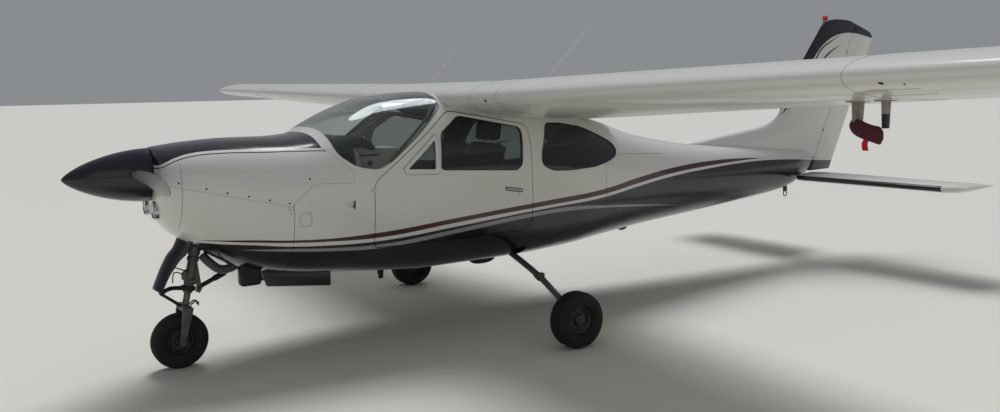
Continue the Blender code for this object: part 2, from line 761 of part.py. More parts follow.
left_low = (PANEL_GAP / 2, 0.4, SILL_Z + TOUCH)
left_region = cutter("left_region", box(left_low, (WIDE, CABIN_END_Y + 0.1, ABOVE_Z)))
door_room = cutter("door_room", prism(door_outline, INBOARD, WIDE))
rear_room = cutter("rear_window_room", prism(rear_outline, INBOARD, WIDE))
side_panel = keep(skin("side_left", CABIN_MARKS, CABIN_WALL, "white_paint"), left_region)
cut(side_panel, upper_room, shield_room, above_cabin, door_room, rear_room)
door_region = cutter("door_region", prism(rounded(DOOR, 0.05), INBOARD, WIDE))
window_room = cutter("window_room", prism(window_outline, INBOARD, WIDE))
vent_room = cutter("vent_room", prism(vent_outline, INBOARD, WIDE))
door = keep(skin("door_left", CABIN_MARKS, CABIN_WALL, "white_paint", DOOR_HINGE), door_region)
cut(door, window_room, vent_room)
pane = cutter("window_pane", prism(offset(window_outline, -TOUCH), INBOARD, WIDE))
door_glass = keep(skin("door_glass_left", CABIN_MARKS, GLASS_WALL, "clear_acrylic", DOOR_HINGE), pane)
pane = cutter("rear_pane", prism(offset(rear_outline, -TOUCH), INBOARD, WIDE))
rear_glass = keep(skin("rear_glass_left", CABIN_MARKS, GLASS_WALL, "clear_acrylic"), pane)
hinge_x, hinge_y, hinge_z = DOOR_HINGE
for number, z in enumerate(DOOR_HINGE_Z):
    half = DOOR_KNUCKLE_HALF
    pin = rod((hinge_x, hinge_y, z - 0.026), (hinge_x, hinge_y, z + 0.026), DOOR_PIN_RADIUS, 12)
    join(side_panel, cutter(f"door_pin_{number}", pin))
    for low in (z - half - 0.0128, z + half + 0.0008):
        leaf = box((0.565, hinge_y - 0.022, low), (hinge_x + 0.006, hinge_y + 0.003, low + 0.012))
        join(side_panel, cutter(f"door_pin_leaf_{number}", leaf))
    leaf = box((0.570, hinge_y + 0.0035, z - half), (hinge_x + 0.004, hinge_y + 0.030, z + half))
    knuckle = rod((hinge_x, hinge_y, z - half), (hinge_x, hinge_y, z + half), DOOR_KNUCKLE_RADIUS, 12)
    bore = rod((hinge_x, hinge_y, z - 0.03), (hinge_x, hinge_y, z + 0.03), DOOR_PIN_RADIUS + BEARING_GAP, 12)
    join(door, cutter(f"door_leaf_{number}", leaf), cutter(f"door_knuckle_{number}", knuckle))
    cut(door, cutter(f"door_bore_{number}", bore))
twin(side_panel, "side_right")
twin(door, "door_right")
twin(door_glass, "door_glass_right")
twin(rear_glass, "rear_glass_right")

shield = cutter("windshield_region", prism(list(WINDSHIELD), -WIDE, WIDE))
windshield = keep(skin("windshield", CABIN_MARKS, GLASS_WALL, "clear_acrylic"), shield)

# Firewall with the engine bearers, and the cabin floor with the gear saddle
firewall_y = COWL_END_Y + 0.012
firewall = solid("firewall", box((-WIDE, firewall_y, 0.4), (WIDE, firewall_y + 0.018, 1.62)), "bare_aluminium")
fit_cabin(firewall)
for side in (1, -1):
    x = side * BEARER_HALF_SPAN
    half = BEARER_SIZE / 2
    beam = box((x - half, 0.06, ENGINE_Z[0] - BEARER_SIZE - TOUCH), (x + half, firewall_y + 0.006, ENGINE_Z[0] - TOUCH))
    join(firewall, cutter("bearer_tool", beam))
cross = box((-BEARER_HALF_SPAN, 0.12, ENGINE_Z[0] - BEARER_SIZE + 0.003), (BEARER_HALF_SPAN, 0.21, ENGINE_Z[0] - 0.004))
join(firewall, cutter("cross_tool", cross))

floor = solid("floor", box((-WIDE, firewall_y + 0.018 + TOUCH, FLOOR_Z), (WIDE, 3.30, FLOOR_Z + FLOOR_THICK)), "trim_plastic")
fit_cabin(floor)

engine = solid("engine", soft_box((-ENGINE_HALF_WIDTH, ENGINE_Y[0], ENGINE_Z[0]),
                                  (ENGINE_HALF_WIDTH, ENGINE_Y[1], ENGINE_Z[1]), 0.03), "engine_casting")

# Tail cone and fin
tail_marks = stations(CABIN_END_Y + PANEL_GAP, BODY[-1][0], (4.3,))
tailcone = skin("tailcone", tail_marks, TAIL_WALL, "navy_paint", cap_last=True)
tail_plug = plug("tail_plug", tail_marks, -TOUCH)
bearing = rod((-0.4, STAB_PIVOT_Y, STAB_Z), (0.4, STAB_PIVOT_Y, STAB_Z), STAB_TUBE_RADIUS + BEARING_GAP, WHEEL_STEPS)
cut(tailcone, cutter("bearing_tool", bearing))


def rudder_axis(z):
    t = (z - RUDDER_FOOT[1]) / (RUDDER_HEAD[1] - RUDDER_FOOT[1])
    y = RUDDER_FOOT[0] + (RUDDER_HEAD[0] - RUDDER_FOOT[0]) * t
    return y, RUDDER_NOSE_FOOT + (RUDDER_NOSE_HEAD - RUDDER_NOSE_FOOT) * t, t


def fin_ring(z, leading, half):
    y_hinge, nose, t = rudder_axis(z)
    rows = ((1.0, nose / half), (0.75, 0.95), (0.5, 1.0), (0.25, 0.85), (0.08, 0.52), (0.0, 0.0))
    span = y_hinge - leading
    right = [(half * w, leading + span * f, z) for f, w in rows[:-1]]
    left = [(-half * w, leading + span * f, z) for f, w in reversed(rows[:-1])]
    return right + [(0.0, leading, z)] + left


def fin_room_ring(z, leading, half):
    """The hollow of the fin, ahead of its hinge arms."""
    back = rudder_axis(z)[0] - 0.105
    front = leading + 0.08
    inner = half - TAIL_SKIN
    rows = ((1.0, 0.85), (0.5, 0.95), (0.2, 0.6), (0.0, 0.2))
    right = [(inner * w, front + (back - front) * f, z) for f, w in rows]
    return right + [(-x, y, z) for x, y, z in reversed(right)]


def rudder_arc(z, widen=0.0):
    y_hinge, nose, t = rudder_axis(z)
    arc = []
    for step in range(7):
        angle = math.pi * step / 6
        arc.append(((nose + widen) * math.cos(angle), y_hinge - (nose + widen) * math.sin(angle), z))
    return arc


def rudder_trail(z):
    t = (z - RUDDER_FOOT[1]) / (RUDDER_TE_HEAD_Z - RUDDER_FOOT[1])
    return rudder_axis(z)[0] + RUDDER_CHORD_FOOT + (RUDDER_CHORD_HEAD - RUDDER_CHORD_FOOT) * t


def rudder_ring(z):
    back = rudder_trail(z)
    return rudder_arc(z) + [(-0.003, back, z), (0.003, back, z)]


def rudder_room_ring(z):
    """The room that the rudder swings in."""
    y_hinge = rudder_axis(z)[0]
    wide = 0.3
    aft = y_hinge + 1.0
    return [(wide, y_hinge, z)] + rudder_arc(z, RUDDER_GAP) + [(-wide, y_hinge, z), (-wide, aft, z), (wide, aft, z)]


def rudder_hollow_ring(z):
    """The hollow of the rudder, aft of its hinge notches."""
    y_hinge, nose, t = rudder_axis(z)
    front = y_hinge + 0.035
    back = rudder_trail(z) - 0.09
    share = (rudder_trail(z) - front) / (rudder_trail(z) - y_hinge)
    wide = nose * share - TAIL_SKIN
    thin = nose * 0.09 / (rudder_trail(z) - y_hinge) - 0.002
    return [(wide, front, z), (-wide, front, z), (-thin, back, z), (thin, back, z)]


cap_tool = cutter("tail_cap_tool", prism(TAIL_CAP, -0.2, 0.2))
fin = solid("fin", loft([fin_ring(*row) for row in FIN]), "white_paint")
rudder_room = cutter("rudder_room", loft([rudder_room_ring(z) for z in (0.6, 2.6)]))
hollow_rows = [(1.02, 4.58, 0.060), FIN[0], FIN[1], FIN[2], FIN[4], FIN[5], (2.40, 6.71, 0.034)]
fin_room = cutter("fin_hollow", loft([fin_room_ring(*row) for row in hollow_rows]))
cut(fin, tail_plug, rudder_room, cap_tool, fin_room)
rudder_pivot = (0.0, rudder_axis(1.6)[0], 1.6)
rudder_marks = (RUDDER_FOOT[1], 1.6, FIN[-1][0])
rudder = solid("rudder", loft([rudder_ring(z) for z in rudder_marks]), "white_paint", rudder_pivot)
hollow = loft([rudder_hollow_ring(z) for z in (RUDDER_FOOT[1] + 0.01, 2.30)])
vent = rod((0.0, RUDDER_FOOT[0] + 0.09, RUDDER_FOOT[1] - 0.1), (0.0, RUDDER_FOOT[0] + 0.09, RUDDER_FOOT[1] + 0.1), 0.010, 8)
cut(rudder, cap_tool, cutter("rudder_hollow", hollow), cutter("rudder_vent", vent))
# The hinge arms stand square to the leaning hinge line
hinge_lean = Matrix.Rotation(-math.atan(RUDDER_LEAN), 4, "X")
for number, z in enumerate((1.28, 2.12)):
    y_hinge, nose, t = rudder_axis(z)
    place = Matrix.Translation((0.0, y_hinge, z)) @ hinge_lean
    half = HINGE_WIDTH / 2
    arm_shape = keyhole(0.0, 0.0, nose + 0.05, HINGE_RADIUS, 0.007)
    arm = prism([(b, a) for a, b in arm_shape], -half, half, "Z")
    bmesh.ops.transform(arm, matrix=place, verts=arm.verts)
    join(fin, cutter(f"rudder_arm_{number}", arm))
    notch_half = half + HINGE_SIDE_GAP
    shape = slot_outline(0.0, 0.0, nose + 0.03, HINGE_RADIUS + BEARING_GAP)
    notch = prism([(b, a) for a, b in shape], -notch_half, notch_half, "Z")
    bmesh.ops.transform(notch, matrix=place, verts=notch.verts)
    cut(rudder, cutter(f"rudder_notch_{number}", notch))


# Stabilator: both halves and the tube that carries them
STAB_SECTION = ((1.0, 0.04), (0.7, 0.5), (0.45, 0.85), (0.25, 1.0), (0.1, 0.8), (0.03, 0.45))


def stab_ring(x, shrink=1.0):
    t = (abs(x) - STAB_ROOT_X) / (STAB_TIP_X - STAB_ROOT_X)
    leading = STAB_ROOT_LE_Y + (STAB_TIP_LE_Y - STAB_ROOT_LE_Y) * t
    chord = STAB_TE_Y - leading
    inset = (1 - shrink) * chord * 0.12
    chord -= inset
    ring = []
    for f, w in STAB_SECTION:
        ring.append((x, leading + inset + f * chord, STAB_Z + w * STAB_THICK / 2 * shrink))
    ring.append((x, leading + inset, STAB_Z))
    for f, w in reversed(STAB_SECTION):
        ring.append((x, leading + inset + f * chord, STAB_Z - w * STAB_THICK / 2 * shrink))
    return ring


def stab_room_ring(x):
    """The hollow of one half, from near its nose to near its trailing edge."""
    t = (abs(x) - STAB_ROOT_X) / (STAB_TIP_X - STAB_ROOT_X)
    leading = STAB_ROOT_LE_Y + (STAB_TIP_LE_Y - STAB_ROOT_LE_Y) * t
    chord = STAB_TE_Y - leading
    rows = [(leading + f * chord, w * STAB_THICK / 2 - TAIL_SKIN - 0.001) for f, w in STAB_SECTION[1:-1]]
    top = [(x, y, STAB_Z + tall) for y, tall in rows]
    return top + [(x, y, STAB_Z - tall) for y, tall in reversed(rows)]


stab_halves = []
stab_rooms = []
for side in (1, -1):
    rows = ((STAB_ROOT_X, 1.0), (STAB_TIP_X - 0.12, 0.95), (STAB_TIP_X - 0.02, 0.6), (STAB_TIP_X, 0.3))
    stab_halves.append(loft([stab_ring(side * x, shrink) for x, shrink in rows]))
    stab_rooms.append(loft([stab_room_ring(side * x) for x in (0.36, STAB_TIP_X - 0.15)]))
stab_pivot = (0.0, STAB_PIVOT_Y, STAB_Z)
stabilator = solid("stabilator", stab_halves[0], "white_paint", stab_pivot)
spar = rod((-STAB_ROOT_X - 0.1, STAB_PIVOT_Y, STAB_Z), (STAB_ROOT_X + 0.1, STAB_PIVOT_Y, STAB_Z),
           STAB_TUBE_RADIUS, WHEEL_STEPS)
join(stabilator, cutter("stab_spar", spar), cutter("stab_right_half", stab_halves[1]))
for number, side in enumerate((1, -1)):
    cut(stabilator, cutter(f"stab_hollow_{number}", stab_rooms[number]))
    vent = rod((side * 0.10, 6.19, STAB_Z), (side * 0.45, 6.19, STAB_Z), VENT_RADIUS, 8)
    cut(stabilator, cutter(f"stab_vent_{number}", vent))
for side in (1, -1):
    notch = [(side * 0.10, 6.40), (side * (STAB_ROOT_X + 0.005), 6.40), (side * 0.33, 6.86), (side * 0.10, 6.86)]
    cut(stabilator, cutter("rudder_notch_tool", prism(notch, 0.6, 1.1, "Z")))

# Propeller: spinner with its shaft, and two blades
spinner_profile = [(0.0, NOSE_TIP_Y)]
for step in range(1, 9):
    t = step / 8
    radius = SPINNER_RADIUS * (1 - (1 - t) ** 1.75) ** 0.72
    spinner_profile.append((radius, NOSE_TIP_Y + (SPINNER_BASE_Y - NOSE_TIP_Y) * t))
spinner_profile += [(SHAFT_RADIUS, SPINNER_BASE_Y), (SHAFT_RADIUS, ENGINE_Y[0] - TOUCH), (0.0, ENGINE_Y[0] - TOUCH)]
# The profile's heights run aft, so its object's Z axis is turned to point forward
profile = [(radius, -(y - SPINNER_BASE_Y)) for radius, y in spinner_profile]
spinner = turned("spinner", profile, "navy_paint", (0.0, SPINNER_BASE_Y, THRUST_Z),
                 turn=(math.pi / 2, 0.0, 0.0))
spinner_room = [(radius + TOUCH * 2 if radius else 0.0, y) for radius, y in profile]
spinner_plug = turned("spinner_room", spinner_room, None, (0.0, SPINNER_BASE_Y, THRUST_Z),
                      turn=(math.pi / 2, 0.0, 0.0))
# Blade sections: share of the radius, chord, thickness and pitch
BLADE = ((0.10, 0.085, 0.060, 60.0), (0.22, 0.115, 0.034, 48.0), (0.40, 0.150, 0.022, 34.0),
         (0.65, 0.150, 0.016, 25.0), (0.88, 0.125, 0.011, 19.0), (0.98, 0.080, 0.008, 17.0),
         (1.00, 0.030, 0.005, 16.0))
BLADE_SECTION = ((0.5, 0.1), (0.25, 0.75), (-0.1, 1.0), (-0.4, 0.6), (-0.5, 0.0),
                 (-0.4, -0.4), (-0.1, -0.6), (0.25, -0.5), (0.5, -0.1))
hub = Vector((0.0, BLADE_Y, THRUST_Z))
for hand, half_turn in (("left", 0.0), ("right", math.pi)):
    rings = []
    for share, chord, thick, pitch in BLADE:
        angle = math.radians(pitch)
        ring = []
        for f, w in BLADE_SECTION:
            run = f * chord
            lift = w * thick / 2
            across = run * math.cos(angle) - lift * math.sin(angle)
            along = run * math.sin(angle) + lift * math.cos(angle)
            ring.append((share * BLADE_TIP_X, -along, across))
        rings.append(ring)
    bm = loft(rings)
    place = Matrix.Translation(hub) @ Matrix.Rotation(half_turn, 4, "Y")
    bmesh.ops.transform(bm, matrix=place, verts=bm.verts)
    cut(solid("blade_" + hand, bm, "blade_paint", hub), spinner_plug)


# Wheels
def tyre_profile(radius, width, bead):
    half = width / 2
    right = [(bead, half * 0.62), ((radius + bead) / 2 - 0.01, half), (radius - 0.030, half * 0.93),
             (radius - 0.010, half * 0.66), (radius, half * 0.25)]
    return right + [(r, -h) for r, h in reversed(right)]


def rim_blind_depth(width):
    """How far out of the wheel's middle the hub's blind bore ends."""
    return width / 2 * 0.62 - 0.018


def rim_profile(bead, width, bore, blind):
    half = width / 2
    flange = half * 0.62 - 0.004
    outer = [(0.0, flange - 0.004), (bead * 0.45, flange - 0.004), (bead * 0.52, flange - 0.016),
             (bead * 0.80, flange - 0.018), (bead * 0.86, flange), (bead - TOUCH, flange)]
    inner = [(bead - TOUCH, -flange), (bead * 0.80, -flange), (bead * 0.76, -flange + 0.020),
             (bore + 0.014, -flange + 0.016), (bore, -flange)]
    if blind:
        return outer + inner + [(bore, rim_blind_depth(width)), (0.0, rim_blind_depth(width))]
    return [(bore, flange - 0.004)] + outer[1:] + inner


def wheel(name, centre, radius, width, bead, bore, blind):
    tyre = turned(name + "_tyre", tyre_profile(radius, width, bead), "tyre_rubber", centre, closed=True)
    rim = turned(name + "_rim", rim_profile(bead, width, bore, blind), "bare_aluminium", centre, closed=not blind)
    return tyre, rim


nose_axle = (0.0, 0.0, NOSE_TYRE_RADIUS)
wheel("nose", nose_axle, NOSE_TYRE_RADIUS, NOSE_TYRE_WIDTH, NOSE_RIM_RADIUS, NOSE_AXLE_RADIUS + BEARING_GAP, False)

# Main gear
centre = (TRACK_HALF, MAIN_AXLE_Y, MAIN_TYRE_RADIUS)
main_tyre, main_rim = wheel("main_left", centre, MAIN_TYRE_RADIUS, MAIN_TYRE_WIDTH, MAIN_RIM_RADIUS,
                            MAIN_AXLE_RADIUS + BEARING_GAP, True)
knuckle_x = TRACK_HALF - MAIN_TYRE_WIDTH / 2 - 0.055
knuckle = soft_box((knuckle_x, MAIN_AXLE_Y - 0.035, MAIN_TYRE_RADIUS - 0.030),
                   (knuckle_x + 0.040, MAIN_AXLE_Y + 0.035, MAIN_TYRE_RADIUS + 0.105), 0.006, 1)
axle = solid("axle_left", knuckle, "grey_steel")
reach = TRACK_HALF + rim_blind_depth(MAIN_TYRE_WIDTH) - 0.001
pin = rod((knuckle_x + 0.01, MAIN_AXLE_Y, MAIN_TYRE_RADIUS), (reach, MAIN_AXLE_Y, MAIN_TYRE_RADIUS),
          MAIN_AXLE_RADIUS, WHEEL_STEPS)
join(axle, cutter("axle_pin", pin))
points = [(LEG_START_X, 2.435, 0.560), (0.36, 2.420, 0.508), (0.75, 2.385, 0.408),
          (knuckle_x - 0.0075, MAIN_AXLE_Y, MAIN_TYRE_RADIUS + 0.078)]
leg = tube("main_leg_left", points, LEG_RADIUS, "grey_steel")
for low, high in ((0.20, 0.50), (-0.50, -0.20)):
    opening = soft_box((low, 2.375, 0.38), (high, 2.475, 0.590), 0.02, 1)
    cut(belly, cutter("leg_opening", opening))
twin(main_tyre, "main_right_tyre")
twin(main_rim, "main_right_rim")
twin(axle, "axle_right")
twin(leg, "main_leg_right")

saddle = cutter("saddle_tool", box((-SADDLE_HALF, 2.38, 0.525), (SADDLE_HALF, 2.49, FLOOR_Z + 0.005)))
join(floor, saddle)


# Nose gear, along the leaning strut
def strut_point(distance, x=0.0, ahead=0.0):
    """A point up the strut from the axle, and ahead of its line."""
    lean = STRUT_LEAN
    y = distance * math.sin(lean) - ahead * math.cos(lean)
    z = NOSE_TYRE_RADIUS + distance * math.cos(lean) + ahead * math.sin(lean)
    return (x, y, z)


def strut_prism(outline, low, high):
    """An outline of (ahead, up the strut) pairs, extruded from side to side."""
    shape = [strut_point(up, 0.0, ahead)[1:] for ahead, up in outline]
    return prism(shape, low, high)


strut = solid("nose_strut", rod(strut_point(STRUT_FOOT), strut_point(STRUT_HEAD), STRUT_RADIUS, WHEEL_STEPS), "grey_steel")
cut(strut, cutter("cross_room", box((-0.3, 0.12 - TOUCH, ENGINE_Z[0] - BEARER_SIZE + 0.003 - TOUCH), (0.3, 0.6, 1.3))))

fork_half = NOSE_TYRE_WIDTH / 2 + 0.012
crown = strut_prism([(-0.030, 0.196), (0.030, 0.196), (0.026, 0.236), (-0.026, 0.236)], -fork_half - 0.018, fork_half + 0.018)
fork = solid("nose_fork", crown, "grey_steel", nose_axle)
stem = rod(strut_point(0.21), strut_point(STRUT_FOOT - TOUCH), PISTON_RADIUS, WHEEL_STEPS)
join(fork, cutter("fork_stem", stem))
for low, high in ((fork_half, fork_half + 0.018), (-fork_half - 0.018, -fork_half)):
    blade_shape = [(-0.024, 0.21), (0.024, 0.21), (0.016, -0.018), (-0.016, -0.018)]
    join(fork, cutter("fork_leg", strut_prism(blade_shape, low, high)))
axle_rod = rod((-fork_half - 0.022, 0.0, NOSE_TYRE_RADIUS), (fork_half + 0.022, 0.0, NOSE_TYRE_RADIUS), NOSE_AXLE_RADIUS, WHEEL_STEPS)
join(fork, cutter("fork_axle", axle_rod))

collar_profile = [(STRUT_RADIUS + BEARING_GAP, 0.014), (0.045, 0.014), (0.045, -0.014), (STRUT_RADIUS + BEARING_GAP, -0.014)]
collar = turned("torque_link", collar_profile, "grey_steel", strut_point(STRUT_FOOT + 0.032), closed=True, turn=(-STRUT_LEAN, 0.0, 0.0))
upper_link = [(0.036, STRUT_FOOT + 0.046), (0.036, STRUT_FOOT + 0.018), (0.160, STRUT_FOOT - 0.022), (0.168, STRUT_FOOT - 0.006)]
join(collar, cutter("upper_link", strut_prism(upper_link, -0.022, 0.022)))
lower_link = [(0.168, STRUT_FOOT - 0.004), (0.150, STRUT_FOOT - 0.008), (0.0315, 0.236), (0.0315, 0.216)]
join(collar, cutter("lower_link", strut_prism(lower_link, -0.018, 0.018)))

brace_start = strut_point(0.395, 0.0, -0.008)
brace = tube("drag_brace", [brace_start, (0.0, 0.30, 0.615), (0.0, 0.50, 0.685), (0.0, firewall_y + 0.010, 0.735)],
             0.014, "grey_steel")
strut_room = rod(strut_point(0.33), strut_point(0.55), STRUT_RADIUS + 2 * TOUCH, WHEEL_STEPS)
wall_room = box((-0.1, firewall_y - TOUCH, 0.6), (0.1, 1.0, 0.9))
cut(brace, cutter("strut_room", strut_room), cutter("wall_room", wall_room))

# Nose gear doors, belly masts and the exhaust outlet
door_top_y = 0.020
door_top_z = body_at(door_top_y)[0] + 0.020
front = [(door_top_y, door_top_z), (-0.050, 0.755), (-0.105, 0.650), (-0.150, 0.540)]
back = [(y + 0.009, z - 0.004) for y, z in reversed(front)]
solid("nose_door", prism(front + back, -0.085, 0.085), "navy_paint")
cut(bpy.data.objects["nose_door"], cowl_plug)
well_side = [(0.520, 0.640), (0.550, 0.482), (1.005, 0.424), (1.005, 0.620), (0.700, 0.640)]
well_door = solid("well_door_left", prism(well_side, 0.112, 0.120), "navy_paint")
cut(well_door, cabin_plug, cowl_plug)
twin(well_door, "well_door_right")
outlet = soft_box((0.115, 0.36, 0.515), (0.205, 0.50, 0.75), 0.02)
cut(solid("exhaust_outlet", outlet, "dark_plastic"), cowl_plug)
mast_shape = [(1.415, 0.60), (1.500, 0.60), (1.480, 0.392), (1.448, 0.392)]
cut(solid("belly_mast", prism(mast_shape, -0.009, 0.009), "grey_steel"), cabin_plug)


# Aerials and the air data masts
def wing_skin_z(x, y, side):
    """Height of the wing's upper or lower skin over a point, by a short search."""
    low, high = 0.02, 0.98
    for step in range(30):
        middle = (low + high) / 2
        if wing_point(x, middle, surface_height(x, middle, side))[1] < y:
            low = middle
        else:
            high = middle
    return wing_point(x, low, surface_height(x, low, side))[2]


foot_z = wing_skin_z(0.87, 2.40, 1)
base = rod((0.87, 2.40, foot_z - 0.015), (0.87, 2.40, foot_z + 0.030), 0.020, 12, 0.012)
aerial = solid("aerial_left", base, "dark_plastic")
join(aerial, cutter("whip", rod((0.87, 2.40, foot_z + 0.02), (0.89, 2.79, 2.24), 0.006, 8, 0.003)))
wing_plug = cutter("wing_plug", loft([wing_ring(x, inset=-2 * TOUCH) for x in spans]))
cut(aerial, wing_plug)
twin(aerial, "aerial_right")

for name, x, drop in (("pitot_mast", 3.46, 0.105), ("vent_mast", 3.60, 0.125)):
    top = wing_skin_z(x, 2.25, -1)
    shape = [(2.21, top + 0.03), (2.31, top + 0.03), (2.285, top - drop), (2.225, top - drop)]
    mast = cut(solid(name, prism(shape, x - 0.010, x + 0.010), "white_paint"), wing_plug)
    if name == "pitot_mast":
        join(mast, cutter("pitot_tube", rod((x, 2.27, top - drop + 0.01), (x, 2.175, top - drop + 0.009), 0.012, 12)))

# Cabin interior
panel_shape = [(1.055, 0.95), (1.085, 0.95), (1.115, 1.285), (1.060, 1.300), (0.860, 1.330), (0.860, 1.300), (1.050, 1.270)]
instrument_panel = solid("instrument_panel", prism(panel_shape, -WIDE, WIDE), "trim_plastic")
fit_cabin(instrument_panel)
for side, hand in ((1, "left"), (-1, "right")):
    x = side * 0.26
    column = rod((x, 1.07, 1.12), (x, 1.27, 1.12), 0.012, 10)
    join(instrument_panel, cutter("column_" + hand, column))
    yoke = box((x - 0.13, 1.26, 1.105), (x + 0.13, 1.285, 1.135))
    join(instrument_panel, cutter("yoke_bar_" + hand, yoke))
    for end in (-1, 1):
        horn = box((x + end * 0.125 - 0.014, 1.258, 1.10), (x + end * 0.125 + 0.014, 1.288, 1.21))
        join(instrument_panel, cutter("yoke_horn_" + hand, horn))

    low_x = x - 0.23
    high_x = x + 0.23
    seat_floor = FLOOR_Z + FLOOR_THICK + TOUCH
    seat = solid("seat_" + hand, soft_box((low_x, 1.70, seat_floor + 0.16), (high_x, 2.20, seat_floor + 0.30), 0.035), "seat_leather")
    back_shape = rounded([(2.08, seat_floor + 0.18), (2.20, seat_floor + 0.18), (2.40, 1.40), (2.36, 1.46), (2.29, 1.44)], 0.03)
    join(seat, cutter("seat_back_" + hand, prism(back_shape, low_x + 0.01, high_x - 0.01)))
    head_shape = [(2.272, 1.400), (2.350, 1.400), (2.372, 1.530), (2.300, 1.535)]
    join(seat, cutter("headrest_" + hand, prism(head_shape, low_x + 0.10, high_x - 0.10)))
    pedestal = box((x - 0.17, 1.76, seat_floor), (x + 0.17, 2.12, seat_floor + 0.18))
    join(seat, cutter("seat_base_" + hand, pedestal))

bench_low = FLOOR_Z + FLOOR_THICK + TOUCH
bench_shape = [(2.72, bench_low), (2.72, bench_low + 0.30), (3.10, bench_low + 0.27), (3.22, 1.36), (3.30, 1.34),
               (3.22, bench_low + 0.15), (2.80, bench_low + 0.15), (2.80, bench_low)]
fit_cabin(solid("rear_seat", prism(rounded(bench_shape, 0.03, 2), -0.44, 0.44), "seat_leather"))
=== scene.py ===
# %% [markdown]
# # A light aircraft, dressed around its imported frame
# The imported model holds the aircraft's solids at their real size, each on the body that
# carries it. This script gives every visible surface its fine shape and its finish. All
# lengths along the aircraft are stations, in metres aft of the nose wheel's axle, because
# aircraft drawings are read that way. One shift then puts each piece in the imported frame.

# %% Load the frame
import math

import bmesh
import bpy
from mathutils import Matrix, Vector


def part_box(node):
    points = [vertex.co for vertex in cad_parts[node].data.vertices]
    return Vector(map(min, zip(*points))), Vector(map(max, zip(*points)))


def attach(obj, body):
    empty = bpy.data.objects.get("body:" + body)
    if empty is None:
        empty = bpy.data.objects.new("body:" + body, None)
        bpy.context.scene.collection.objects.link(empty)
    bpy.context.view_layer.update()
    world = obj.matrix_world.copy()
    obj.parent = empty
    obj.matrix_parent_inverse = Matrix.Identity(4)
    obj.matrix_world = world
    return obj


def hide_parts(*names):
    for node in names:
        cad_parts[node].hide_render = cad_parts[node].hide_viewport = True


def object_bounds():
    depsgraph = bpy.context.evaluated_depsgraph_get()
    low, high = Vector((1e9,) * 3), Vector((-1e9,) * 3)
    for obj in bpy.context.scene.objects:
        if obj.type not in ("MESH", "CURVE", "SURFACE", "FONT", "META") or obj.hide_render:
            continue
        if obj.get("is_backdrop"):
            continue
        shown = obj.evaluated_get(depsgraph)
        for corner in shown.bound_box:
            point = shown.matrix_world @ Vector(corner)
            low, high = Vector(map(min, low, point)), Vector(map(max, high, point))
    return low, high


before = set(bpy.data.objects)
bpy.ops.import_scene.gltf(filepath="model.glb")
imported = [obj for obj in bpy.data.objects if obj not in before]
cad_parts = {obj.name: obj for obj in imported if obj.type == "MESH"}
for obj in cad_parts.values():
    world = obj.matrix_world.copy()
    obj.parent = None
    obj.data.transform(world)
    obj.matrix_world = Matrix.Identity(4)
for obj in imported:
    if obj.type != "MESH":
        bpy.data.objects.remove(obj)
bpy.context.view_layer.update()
axle_low, axle_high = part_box("nose_tyre")
AXLE_Y = (axle_low.y + axle_high.y) / 2

# %% [markdown]
# ## Colours and nodes
# Paint charts give colours as sRGB hex, but Cycles mixes light in linear values, so one
# function turns the first into the second. Materials are small graphs. One more function
# adds a node, sets its properties and then sets or links its inputs, which keeps each
# material readable as a list of what it is made of.


# %% Colour and node helpers
def linear(shade):
    """An sRGB hex colour as the linear values that the shader takes."""
    parts = [int(shade[i:i + 2], 16) / 255 for i in (1, 3, 5)]
    return tuple(p / 12.92 if p <= 0.04045 else ((p + 0.055) / 1.055) ** 2.4 for p in parts) + (1.0,)


def add_node(tree, kind, inputs=None, out=0, **settings):
    """Add a shader node, set its properties, set or link its inputs, and give one output."""
    made = tree.nodes.new("ShaderNode" + kind)
    for name, value in settings.items():
        setattr(made, name, value)
    for key, value in (inputs or {}).items():
        if isinstance(value, bpy.types.NodeSocket):
            tree.links.new(value, made.inputs[key])
        else:
            made.inputs[key].default_value = value
    return made.outputs[out]


def finish_of(name, colour, roughness, metallic=0.0, coat=0.0, **more):
    """A named finish: a Principled shader with its plain values, ready for patterns."""
    made = bpy.data.materials.new(name)
    made.use_nodes = True
    shader = made.node_tree.nodes["Principled BSDF"]
    values = {"Base Color": linear(colour), "Roughness": roughness, "Metallic": metallic,
              "Coat Weight": coat, "Coat Roughness": 0.06, **more}
    for key, value in values.items():
        shader.inputs[key].default_value = value
    return made, made.node_tree, shader


# %% [markdown]
# ## Patterns that many finishes share
# Real paint is never one flat value. Dust settles in wide soft clouds, fingers and cloths
# leave faint streaks in the gloss, and sprayed paint keeps a fine orange peel. Each of
# these is a noise at its real size, read from Object coordinates so that it stays put.

# %% Shared patterns
MILLIMETRE = 0.001
GRIME_SIZE = 420 * MILLIMETRE
PEEL_SIZE = 5 * MILLIMETRE
PEEL_DEPTH = 0.03 * MILLIMETRE
DUST = "#A79C88"


def clouds(tree, size, detail=4.0, low=0.35, high=0.65, stretch=(1.0, 1.0, 1.0)):
    """Soft patches of about the given size, from 0 to 1."""
    where = add_node(tree, "TexCoord", out="Object")
    where = add_node(tree, "Mapping", {"Vector": where, "Scale": stretch})
    noise = add_node(tree, "TexNoise", {"Vector": where, "Scale": 1 / size, "Detail": detail})
    return add_node(tree, "MapRange", {"Value": noise, "From Min": low, "From Max": high})


